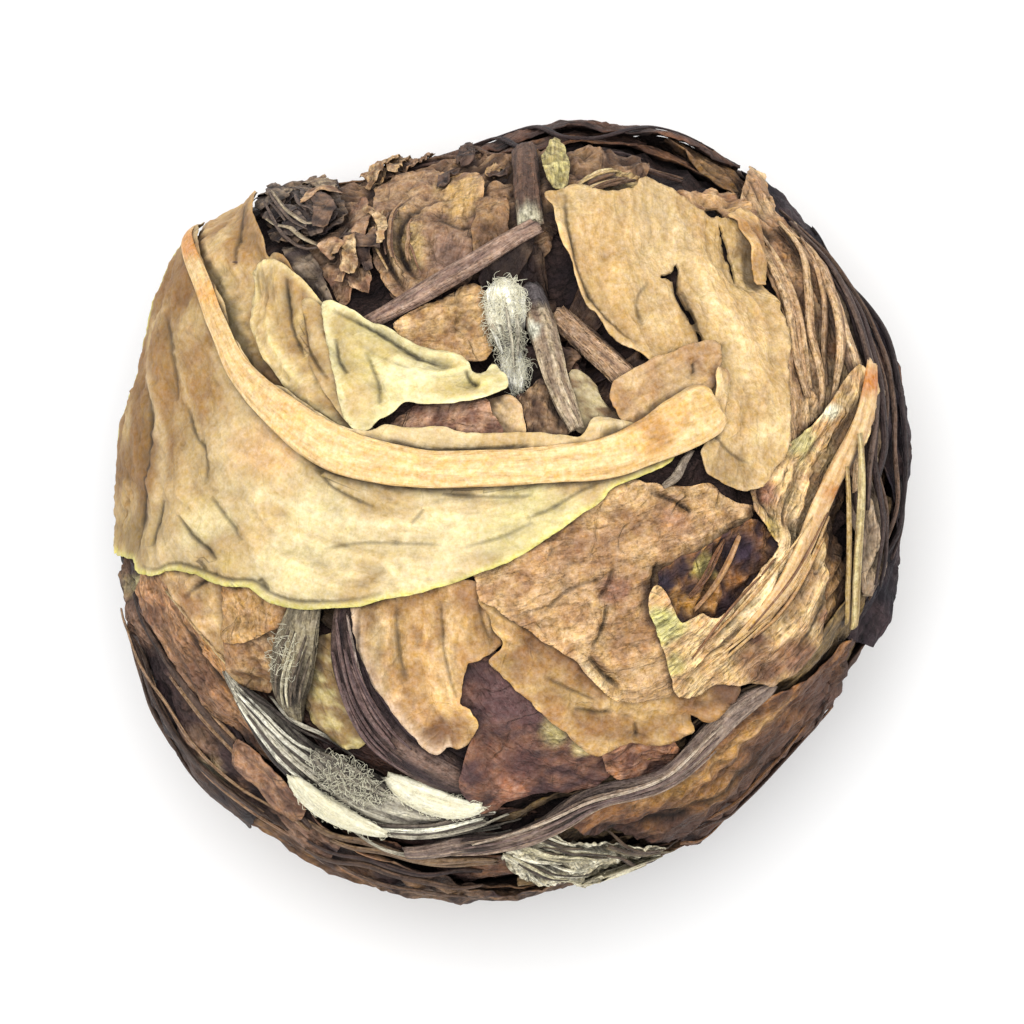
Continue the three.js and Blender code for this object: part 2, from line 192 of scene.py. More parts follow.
def raiseTo(direction, height):
    face, row, column = cubeCell(direction)
    np.maximum.at(surface, (face, np.rint(row).astype(int), np.rint(column).astype(int)), height)


def sampled(values, rows, columns):  # a grid's values at fractional rows and columns
    i = np.clip(rows.astype(int), 0, values.shape[0] - 2)
    j = np.clip(columns.astype(int), 0, values.shape[1] - 2)
    down, right = rows - i, columns - j
    if values.ndim == 3:
        down, right = down[..., None], right[..., None]
    near = values[i, j] * (1 - right) + values[i, j + 1] * right
    far = values[i + 1, j] * (1 - right) + values[i + 1, j + 1] * right
    return near * (1 - down) + far * down


def laidOn(direction, height, inside, step):  # raises the map under a whole grid
    times = max(1, math.ceil(step / surfaceMap["fine"]))
    rows = np.linspace(0, height.shape[0] - 1, (height.shape[0] - 1) * times + 1)
    columns = np.linspace(0, height.shape[1] - 1, (height.shape[1] - 1) * times + 1)
    rows, columns = np.meshgrid(rows, columns, indexing="ij")
    kept = sampled(inside, rows, columns) > 0
    rows, columns = rows[kept], columns[kept]
    raiseTo(sampled(direction, rows, columns), sampled(height, rows, columns))


def shifted(values, by, axis):
    at = np.clip(np.arange(values.shape[axis]) + by, 0, values.shape[axis] - 1)
    return np.take(values, at, axis)


def draped(values, cells):  # a soft cover over a grid of heights, never much below it
    for axis in range(values.ndim):
        values = np.max([shifted(values, by, axis) for by in range(-cells, cells + 1)], axis=0)
    for axis in list(range(values.ndim)) * 2:
        values = np.mean([shifted(values, by, axis) for by in range(-cells, cells + 1)], axis=0)
    return values


def smoothLine(points, steps):  # a curve through the points
    points = np.asarray(points, float)
    padded = np.vstack([2 * points[0] - points[1], points, 2 * points[-1] - points[-2]])
    t = np.linspace(0, 1, steps, endpoint=False)[:, None]
    spans = []
    for a, b, c, d in zip(padded[:-3], padded[1:-2], padded[2:-1], padded[3:]):
        bend = (2 * a - 5 * b + 4 * c - d) * t ** 2 + (3 * b - a - 3 * c + d) * t ** 3
        spans.append((2 * b + (c - a) * t + bend) / 2)
    return np.vstack(spans + [points[-1:]])


def closedLine(points, steps=4):  # a smooth closed outline
    points = np.asarray(points, float)
    around = np.vstack([points[-2:], points, points[:2]])
    return smoothLine(around, steps)[2 * steps: -2 * steps]


def spineOf(piece, step):
    if "directions" in piece:
        ends, reaches = piece["directions"], piece["reaches"]
    else:
        ribs = np.asarray(piece["ribs"], float)
        places, reaches = ribs[:, :2], ribs[:, 2:]
        if "outline" in piece:
            places = np.vstack([1.4 * places[0] - 0.4 * places[1], places, 1.4 * places[-1] - 0.4 * places[-2]])
            reaches = np.zeros((len(places), 2))
        ends = skin(places[:, 0], places[:, 1])
    line = smoothLine(np.hstack([ends, reaches]), 16)
    middle = unit(line[:, :3])
    length = np.concatenate([[0], np.cumsum(np.linalg.norm(np.diff(middle, axis=0), axis=1))]) * meanRadius
    at = np.linspace(0, length[-1], max(5, round(length[-1] / step)) + 1)
    middle = unit(np.stack([np.interp(at, length, middle[:, k]) for k in range(3)], -1))
    reach = np.stack([np.interp(at, length, line[:, k]) for k in (3, 4)], -1)
    side = unit(np.cross(middle, np.gradient(middle, axis=0)))
    if "outline" in piece:
        edge = closedLine(piece["outline"])
        edge = skin(edge[:, 0], edge[:, 1])
        nearest = (edge @ middle.T).argmax(axis=1)
        across = np.arcsin((edge * side[nearest]).sum(axis=1)) * meanRadius
        reach = np.tile([max(across.max(), 0.1) + 0.15, max(-across.min(), 0.1) + 0.15], (len(at), 1))
    return at, middle, side, reach


def lineDistance(points, line):  # distance, side (left is 1) and share of the way along a line
    nearest = np.full(points.shape[:-1], 1e9)
    side, share = np.zeros_like(nearest), np.zeros_like(nearest)
    for k, (start, end) in enumerate(zip(line[:-1], line[1:])):
        run = end - start
        t = np.clip(((points - start) @ run) / (run @ run), 0, 1)
        gap = points - start - t[..., None] * run
        distance = np.hypot(gap[..., 0], gap[..., 1])
        closer = distance < nearest
        nearest = np.where(closer, distance, nearest)
        side = np.where(closer, np.sign(run[0] * gap[..., 1] - run[1] * gap[..., 0]), side)
        share = np.where(closer, (k + t) / (len(line) - 1), share)
    return nearest, side, share


def outsideOf(points, polygon):  # distance outside a closed shape, negative within it
    polygon = np.asarray(polygon, float)
    closed = np.vstack([polygon, polygon[:1]])
    distance = lineDistance(points, closed)[0]
    within = np.zeros(points.shape[:-1], bool)
    x, y = points[..., 0], points[..., 1]
    for (x0, y0), (x1, y1) in zip(closed[:-1], closed[1:]):
        crosses = (y0 > y) != (y1 > y)
        within ^= crosses & (x < (x1 - x0) * (y - y0) / (y1 - y0 + 1e-12) + x0)
    return np.where(within, -distance, distance)


# Relief of the folds drawn on a leaf. A fold is high on the left of its line and steps down on the right.
# Ridges also give a share of painted highlight. The nearest dark line of a fold or groove is painted shade, kept as a
# distance across it and a strength, for the surface to draw.
def foldRelief(seen, creases):
    relief, light = np.zeros(seen.shape[:-1]), np.zeros(seen.shape[:-1])
    across, strength = np.full(seen.shape[:-1], 9.0), np.zeros(seen.shape[:-1])
    for kind, depth, width, points in creases:
        distance, side, share = lineDistance(seen, smoothLine(points, 6))
        fade = np.sqrt(np.clip(np.minimum(share, 1 - share) * 5, 0, 1))
        soft = max(width, 0.13)
        if kind == "fold":
            relief += depth * fade * np.where(side > 0, np.exp(-distance / width), 0)
        elif kind == "groove":
            relief -= min(depth, 0.12) * fade * np.exp(-(distance / soft) ** 2)
        else:
            relief += depth * fade * np.exp(-(distance / soft) ** 2)
            light += fade * np.exp(-(distance / soft) ** 2)
        if kind != "ridge":
            near = fade * np.exp(-(distance / 0.3) ** 2) * min(1, 0.25 + depth * 6)
            across = np.where(near > strength, distance * side, across)
            strength = np.maximum(near, strength)
    return relief, light, across, strength


laid = []  # every leaf, stalk and bud, from the innermost out

leafDefaults = {
    "step": 0.13,
    "rise": 0.16,
    "thick": 0.1,
    "bridge": 0.35,  # hollows narrower than this are spanned
    "wrinkle": 0.05,
    "wrinkleSize": 0.5,
    "crumple": 0.09,
    "crumpleSize": 1.7,
    "wave": 0.05,
    "crinkle": 0.035,
    "ragged": 0.06,
    "curl": 0.04,  # lift of the margins
    "rib": 0,
    "veins": 0,
    "creases": [],
    "tears": [],
    "spots": [],  # x, y, radius, tone
    "bands": [],  # tone, width, strength, points of its line
    "patch": 1.4,
    "look": "brownLeaf",
}


def layLeaf(leaf):
    leaf = {**leafDefaults, **leaf}
    seed = 11 * len(laid) + 3
    step = leaf["step"]
    at, middle, side, reach = spineOf(leaf, step)
    room = leaf["ragged"] + 0.15
    left, right = reach[:, 0] + room, reach[:, 1] + room
    columns = max(8, round((left + right).max() / step)) + 1
    offset = np.linspace(0, 1, columns) * (left + right)[:, None] - right[:, None]
    angle = (offset / meanRadius)[..., None]
    direction = middle[:, None] * np.cos(angle) + side[:, None] * np.sin(angle)
    place = direction * meanRadius
    seen = seenFromAbove(direction)
    down = np.broadcast_to(at[:, None], offset.shape)
    flow = np.linspace(0, 1, columns) * (left + right).max() + 0 * offset  # follows the margins

    jag = layeredNoise(place / 0.7, seed, 3)
    margin = np.minimum(reach[:, 0, None] - offset, reach[:, 1, None] + offset)
    margin = np.minimum(margin, np.minimum(down, at[-1] - down) - 0.2)
    if "outline" in leaf:
        margin = np.minimum(margin + 0.1, -outsideOf(seen, closedLine(leaf["outline"])))
    margin = margin + leaf["ragged"] * jag
    inside = margin
    for tear in leaf["tears"]:
        inside = np.minimum(inside, outsideOf(seen, tear) + 0.03 * jag)

    warp = noise(place / 2.5, seed + 4)
    stripes = np.stack([down / (leaf["wrinkleSize"] * 6), flow / leaf["wrinkleSize"] + 1.3 * warp], -1)
    wrinkle = foldedNoise(stripes, seed + 5, 2)
    crumple = foldedNoise(place / leaf["crumpleSize"] + 0.3 * warp[..., None], seed + 7, 3)
    relief = leaf["wrinkle"] * wrinkle + leaf["crumple"] * crumple + leaf["wave"] * noise(place / 3.2, seed + 9)
    crinkle = foldedNoise(place / 0.6 + 0.4 * warp[..., None], seed + 21, 2)
    relief += leaf["crinkle"] * crinkle
    if leaf["rib"]:
        relief += leaf["rib"] * np.exp(-(offset / 0.28) ** 2)
        away = np.abs(offset)
        branch = (down - 0.7 * away + 0.25 * warp + np.where(offset > 0, 0.9, 0)) / 1.9
        branch = np.abs(branch - np.round(branch)) * 1.9
        relief += leaf["veins"] * np.exp(-(branch / 0.13) ** 2) * np.exp(-away / 3)
    folds, light, across, strength = foldRelief(seen, leaf["creases"])
    lift = leaf["curl"] * (0.6 + layeredNoise(place / 1.3, seed + 12, 2)) * np.exp(-np.maximum(margin, 0) / 0.3)

    beneath = heightAt(direction)
    cover = draped(beneath, max(1, round(leaf["bridge"] / step)))
    top = np.maximum(cover + leaf["rise"] + relief + folds + lift, beneath + 0.05)
    thick = leaf["thick"] * (0.35 + 0.65 * smoothStep(margin, 0, 0.35))
    laidOn(direction, top, inside, step)

    first, second = (tone(*shown) for shown in leaf["tones"])
    patches = layeredNoise(place / leaf["patch"], seed + 15, 4)
    colour = mix(first, second, smoothStep(patches, -0.45, 0.5))
    for x, y, radius, shown in leaf["spots"]:
        away = np.hypot(seen[..., 0] - x, seen[..., 1] - y) / radius + 0.45 * patches
        colour = mix(colour, tone(*shown), 1 - smoothStep(away, 0.3, 1.2))
    for shown, width, strong, points in leaf["bands"]:
        distance, _, share = lineDistance(seen, smoothLine(points, 6))
        fade = strong * np.clip(np.minimum(share, 1 - share) * 4, 0, 1)
        colour = mix(colour, tone(*shown), fade * np.exp(-(distance / width + 0.3 * patches) ** 2))
    # a colour along one or both margins: the pale rims are painted highlights on raised margins, the dark rim is
    # painted shade where a margin turns down the side
    if "rim" in leaf:
        shown, width, whichSide = leaf["rim"]
        edge = np.where({"left": offset > 0, "right": offset < 0, "both": offset < 99}[whichSide], margin, 9)
        colour = mix(colour, tone(*shown), np.exp(-(np.maximum(edge, 0) / width) ** 2))
    # painted shade in the valleys of the wrinkles, crumples and crinkles and painted highlight on their crests
    reliefShadingAndVeinPatch = 0.8 * wrinkle * min(1, leaf["wrinkle"] * 9) + 0.8 * crumple * min(1, leaf["crumple"] * 5)
    reliefShadingAndVeinPatch += 0.35 * crinkle * min(1, leaf["crinkle"] * 25)
    colour = colour * (1 + 0.35 * np.clip(reliefShadingAndVeinPatch, -1, 0.7))[..., None]
    # painted shade along the crease lines and painted highlight along the ridges
    colour = mix(colour, tone(*pearl["paintedShadeTone"]), 0.25 * strength) * (1 + 0.14 * np.clip(light, 0, 1))[..., None]
    grain = np.stack([down, offset, np.full_like(offset, seed)], -1)
    lines = np.stack([across, strength, np.clip(margin, -1, 2)], -1)
    laid.append({
        "name": leaf["name"], "look": leaf["look"], "kind": "sheet", "direction": direction,
        "height": top, "thick": thick, "inside": inside, "colour": colour, "grain": grain, "lines": lines,
        "step": step,
    })


stalkDefaults = {
    "step": 0.15,
    "around": 18,
    "flat": 0.8,  # height over width
    "sink": 0.25,  # share of the height pressed into what is beneath
    "ridges": 7,
    "ridgeDepth": 0.07,
    "rough": 0.06,
    "bridge": 0.6,
    "snapped": 0.15,  # how ragged the ends are
    "look": "stalk",
}


def layStalk(stalk):
    stalk = {**stalkDefaults, **stalk}
    seed = 11 * len(laid) + 3
    step, around = stalk["step"], stalk["around"]
    at, middle, side, reach = spineOf(stalk, step)
    half = reach.mean(axis=1)
    shift = (reach[:, 0] - reach[:, 1]) / 2
    beneath = []
    for share in (-0.7, -0.35, 0, 0.35, 0.7):
        angle = ((shift + share * half) / meanRadius)[:, None]
        beneath.append(heightAt(middle * np.cos(angle) + side * np.sin(angle)))
    centre = draped(np.max(beneath, axis=0), max(1, round(stalk["bridge"] / step)))
    centre = centre + half * stalk["flat"] * (1 - 2 * stalk["sink"])

    turn = np.linspace(0, 2 * math.pi, around, endpoint=False)
    down, turned = np.meshgrid(at, turn, indexing="ij")
    tube = np.stack([np.cos(turned), np.sin(turned), down / 2.2], -1)
    swirl = 1.5 * noise(tube * [0.4, 0.4, 0.8], seed)
    ridge = np.cos(stalk["ridges"] * turned + swirl * 2) * (0.6 + 0.4 * noise(tube, seed + 1))
    bumps = layeredNoise(tube * [1.6, 1.6, 1.3], seed + 2, 3)
    swell = 1 + stalk["ridgeDepth"] * ridge + stalk["rough"] * bumps
    size = half[:, None] * swell
    offset = shift[:, None] + np.cos(turned) * size
    height = centre[:, None] + np.sin(turned) * size * stalk["flat"]
    angle = (offset / meanRadius)[..., None]
    direction = middle[:, None] * np.cos(angle) + side[:, None] * np.sin(angle)
    for row, sign in ((0, -1), (-1, 1)):
        along = unit(np.cross(side[row], middle[row])) * sign
        ragged = stalk["snapped"] * noise(tube[row] * 2.3, seed + 5) / meanRadius
        direction[row] = unit(direction[row] + along * ragged[:, None])
    laidOn(direction[:, : around // 2 + 1], height[:, : around // 2 + 1], np.ones((len(at), around // 2 + 1)), step)

    first, second = (tone(*shown) for shown in stalk["tones"])
    streak = noise(np.stack([np.cos(turned) * 3, np.sin(turned) * 3, down / 3], -1), seed + 7)
    colour = mix(first, second, smoothStep(0.5 * streak - 0.5 * ridge + 0.3 * bumps, -0.5, 0.6))
    nearEnd = np.minimum(down, at[-1] - down)
    if "endTone" in stalk:
        colour = mix(colour, tone(*stalk["endTone"]), 1 - smoothStep(nearEnd, 0.1, 0.6))
    seen = seenFromAbove(direction)
    for x, y, radius, shown in stalk.get("spots", []):
        away = np.hypot(seen[..., 0] - x, seen[..., 1] - y) / radius + 0.4 * bumps
        colour = mix(colour, tone(*shown), 1 - smoothStep(away, 0.35, 1.15))
    grain = np.stack([down, turned * half.mean(), np.full_like(down, seed)], -1)
    comb = np.gradient(middle, axis=0)
    laid.append({
        "name": stalk["name"], "look": stalk["look"], "kind": "tube", "direction": direction,
        "height": height, "colour": colour, "grain": grain,
        "comb": np.repeat(unit(comb)[:, None], around, axis=1),
    })


# Thin strands side by side along one path. Each rib is x, y and how far the bundle reaches to each side.
strandDefaults = {
    "count": 5,
    "half": (0.08, 0.16),
    "wander": 0.12,
    "cut": 0.2,  # how much shorter than the path a strand may be at each end
    "sink": 0.25,
    "seed": 1,
    "look": "fibrousStalk",
}


def layStrands(bundle):
    bundle = {**strandDefaults, **bundle}
    random = np.random.default_rng(bundle["seed"])
    line = smoothLine(bundle["ribs"], 5)
    run = np.gradient(line[:, :2], axis=0)
    side = unit(np.stack([-run[:, 1], run[:, 0]], -1))
    share = np.linspace(0, 1, len(line))
    count = bundle["count"]
    for number in random.permutation(count):
        across = (number + 0.5) / count * 2 - 1 + bundle["wander"] * random.normal()
        wave = bundle["wander"] * noise(np.stack([share * 3, share * 0 + number], -1), bundle["seed"])
        path = line[:, :2] + side * (line[:, 2] * (across + wave))[:, None]
        first, last = random.uniform(0, bundle["cut"], 2)
        path = path[(share >= first) & (share <= 1 - last)][::2]
        half = random.uniform(*bundle["half"])
        reach = half * (0.55 + 0.45 * np.sin(np.linspace(0, math.pi, len(path))))
        tones = bundle["tones"][random.integers(len(bundle["tones"]))]
        layStalk({
            "name": f"{bundle['name']}{number + 1}", "look": bundle["look"], "tones": tones, "around": 8,
            "step": 0.2, "flat": 0.6, "bridge": 0.35, "ridges": 3, "ridgeDepth": 0.12, "rough": 0.12,
            "sink": bundle["sink"], "ribs": [(x, y, wide, wide) for (x, y), wide in zip(path, reach)],
        })


def layFlakes(heap):  # small torn bits lying anyhow within a place
    random = np.random.default_rng(heap["seed"])
    for number in range(heap["count"]):
        around, away = random.uniform(0, 2 * math.pi), math.sqrt(random.uniform())
        middle = np.array(heap["place"]) + away * np.array(heap["reach"]) * [math.cos(around), math.sin(around)]
        turn, length = random.uniform(0, 2 * math.pi), random.uniform(*heap["length"])
        run = length / 2 * np.array([math.cos(turn), math.sin(turn)])
        bend = random.uniform(-0.25, 0.25) * length * np.array([-math.sin(turn), math.cos(turn)])
        half = random.uniform(*heap["half"])
        layLeaf({
            "name": f"{heap['name']}{number + 1}", "look": heap.get("look", "darkLeaf"), "step": 0.09,
            "tones": heap["tones"][random.integers(len(heap["tones"]))], "patch": 0.4, "ragged": 0.08,
            "crumple": 0.14, "crumpleSize": 0.5, "wrinkle": 0.03, "wrinkleSize": 0.3, "curl": 0.07, "bridge": 0.3,
            "rise": random.uniform(0.03, 0.1), "thick": 0.07,
            "ribs": [(*(middle - run), half * .5, half * .5), (*(middle + bend), half, half),
                     (*(middle + run), half * .4, half * .4)],
        })


# The crumpled core, seen only in the knot and between the leaves. Its near-black tones are painted shade for the deep
# gaps.
core = {"facets": 6, "crumple": 0.32, "tones": ((58, 42, 38), (34, 24, 26))}


def coreHeight(direction):
    lumps = 0
    for x, y, z in (((5, 8.5, 0)), (0, 6.5, -9.5), (5.5, 0, 8)):
        lumps = lumps + np.sin(direction @ np.array([x, y, z]) + 2 * (z < 0) + 4 * (z > 0)) / 3
    away = np.arccos(np.clip(direction @ knotAxis, -1, 1)) * meanRadius / pearl["knotReach"]
    return pearl["coreLump"] * lumps - pearl["coreSink"] - pearl["knotHollow"] * np.exp(-away ** 4)


def coreSurface(direction):
    return coreHeight(direction) + core["crumple"] * ridgedNoise(direction * meanRadius / 1.4, 5, 3)


cellTurn = (np.arange(lastCell + 1) / lastCell - 0.5) * math.pi / 2
rowTan, columnTan = np.meshgrid(np.tan(cellTurn), np.tan(cellTurn), indexing="ij")
for face in range(6):
    cells = np.zeros((lastCell + 1, lastCell + 1, 3))
    cells[..., face // 2] = 1 - 2 * (face % 2)
    cells[..., (face // 2 + 1) % 3] = rowTan
    cells[..., (face // 2 + 2) % 3] = columnTan
    surface[face] = coreSurface(unit(cells))

# Leaves wrapped round the knot in rows, down to the far side, as in the part's source
wraps = {
    "rows": ((62, 4), (80, 5), (98, 6), (116, 5), (134, 4), (154, 3)),  # degrees from the knot, leaves
    "half": 2.5,
    "slope": 7,
    "overlap": 1.26,
    "seed": 7,
    "tones": (
        ((132, 98, 66), (92, 66, 48)),
        ((104, 78, 56), (66, 48, 40)),
        ((158, 122, 80), (118, 86, 56)),
        ((84, 62, 50), (54, 40, 36)),
        ((142, 116, 74), (100, 80, 52)),
        ((120, 84, 58), (80, 54, 44)),
    ),
}


def layWraps():
    draw = repeatable(wraps["seed"])
    number = 0
    for degrees, count in wraps["rows"]:
        turn = 2 * math.pi * wraps["overlap"] / count
        start = draw() * turn
        for k in range(count):
            begin = start + 2 * math.pi * (k + 0.3 * draw()) / count
            tilt = math.radians(wraps["slope"] * (2 * draw() - 1))
            down = math.radians(degrees) + 0.1 * (draw() - 0.5)
            half = wraps["half"] * (0.8 + 0.4 * draw())
            shares = np.linspace(0, 1, 4)
            number += 1
            layLeaf({
                "name": f"wrapLeaf{number:02d}",
                "directions": roundKnot(begin + turn * shares, down + tilt * (2 * shares - 1)),
                "reaches": half * np.array([[0.35, 0.35], [1, 1], [0.95, 0.95], [0.3, 0.3]]),
                "tones": wraps["tones"][(number * 5) % 6],
                "look": "darkLeaf" if number % 3 else "fibrousLeaf",
                "step": 0.2, "rib": 0.12, "veins": 0.03, "wrinkle": 0.13, "wrinkleSize": 0.7,
                "crumple": 0.05, "crumpleSize": 2.2, "ragged": 0.08, "curl": 0.05,
            })


layWraps()
restHalf = 4.2
restShares = np.linspace(-1, 1, 5)
layLeaf({
    "name": "restLeaf",
    "directions": unit(np.stack([restShares * restHalf / meanRadius, 0 * restShares, 0 * restShares - 1], -1)),
    "reaches": restHalf * np.array([[0.45, 0.45], [0.87, 0.87], [1, 1], [0.87, 0.87], [0.45, 0.45]]),
    "tones": ((122, 92, 62), (84, 62, 46)), "step": 0.24, "rib": 0.08, "veins": 0.04,
})
print("tea pearl: wrapped leaves laid")

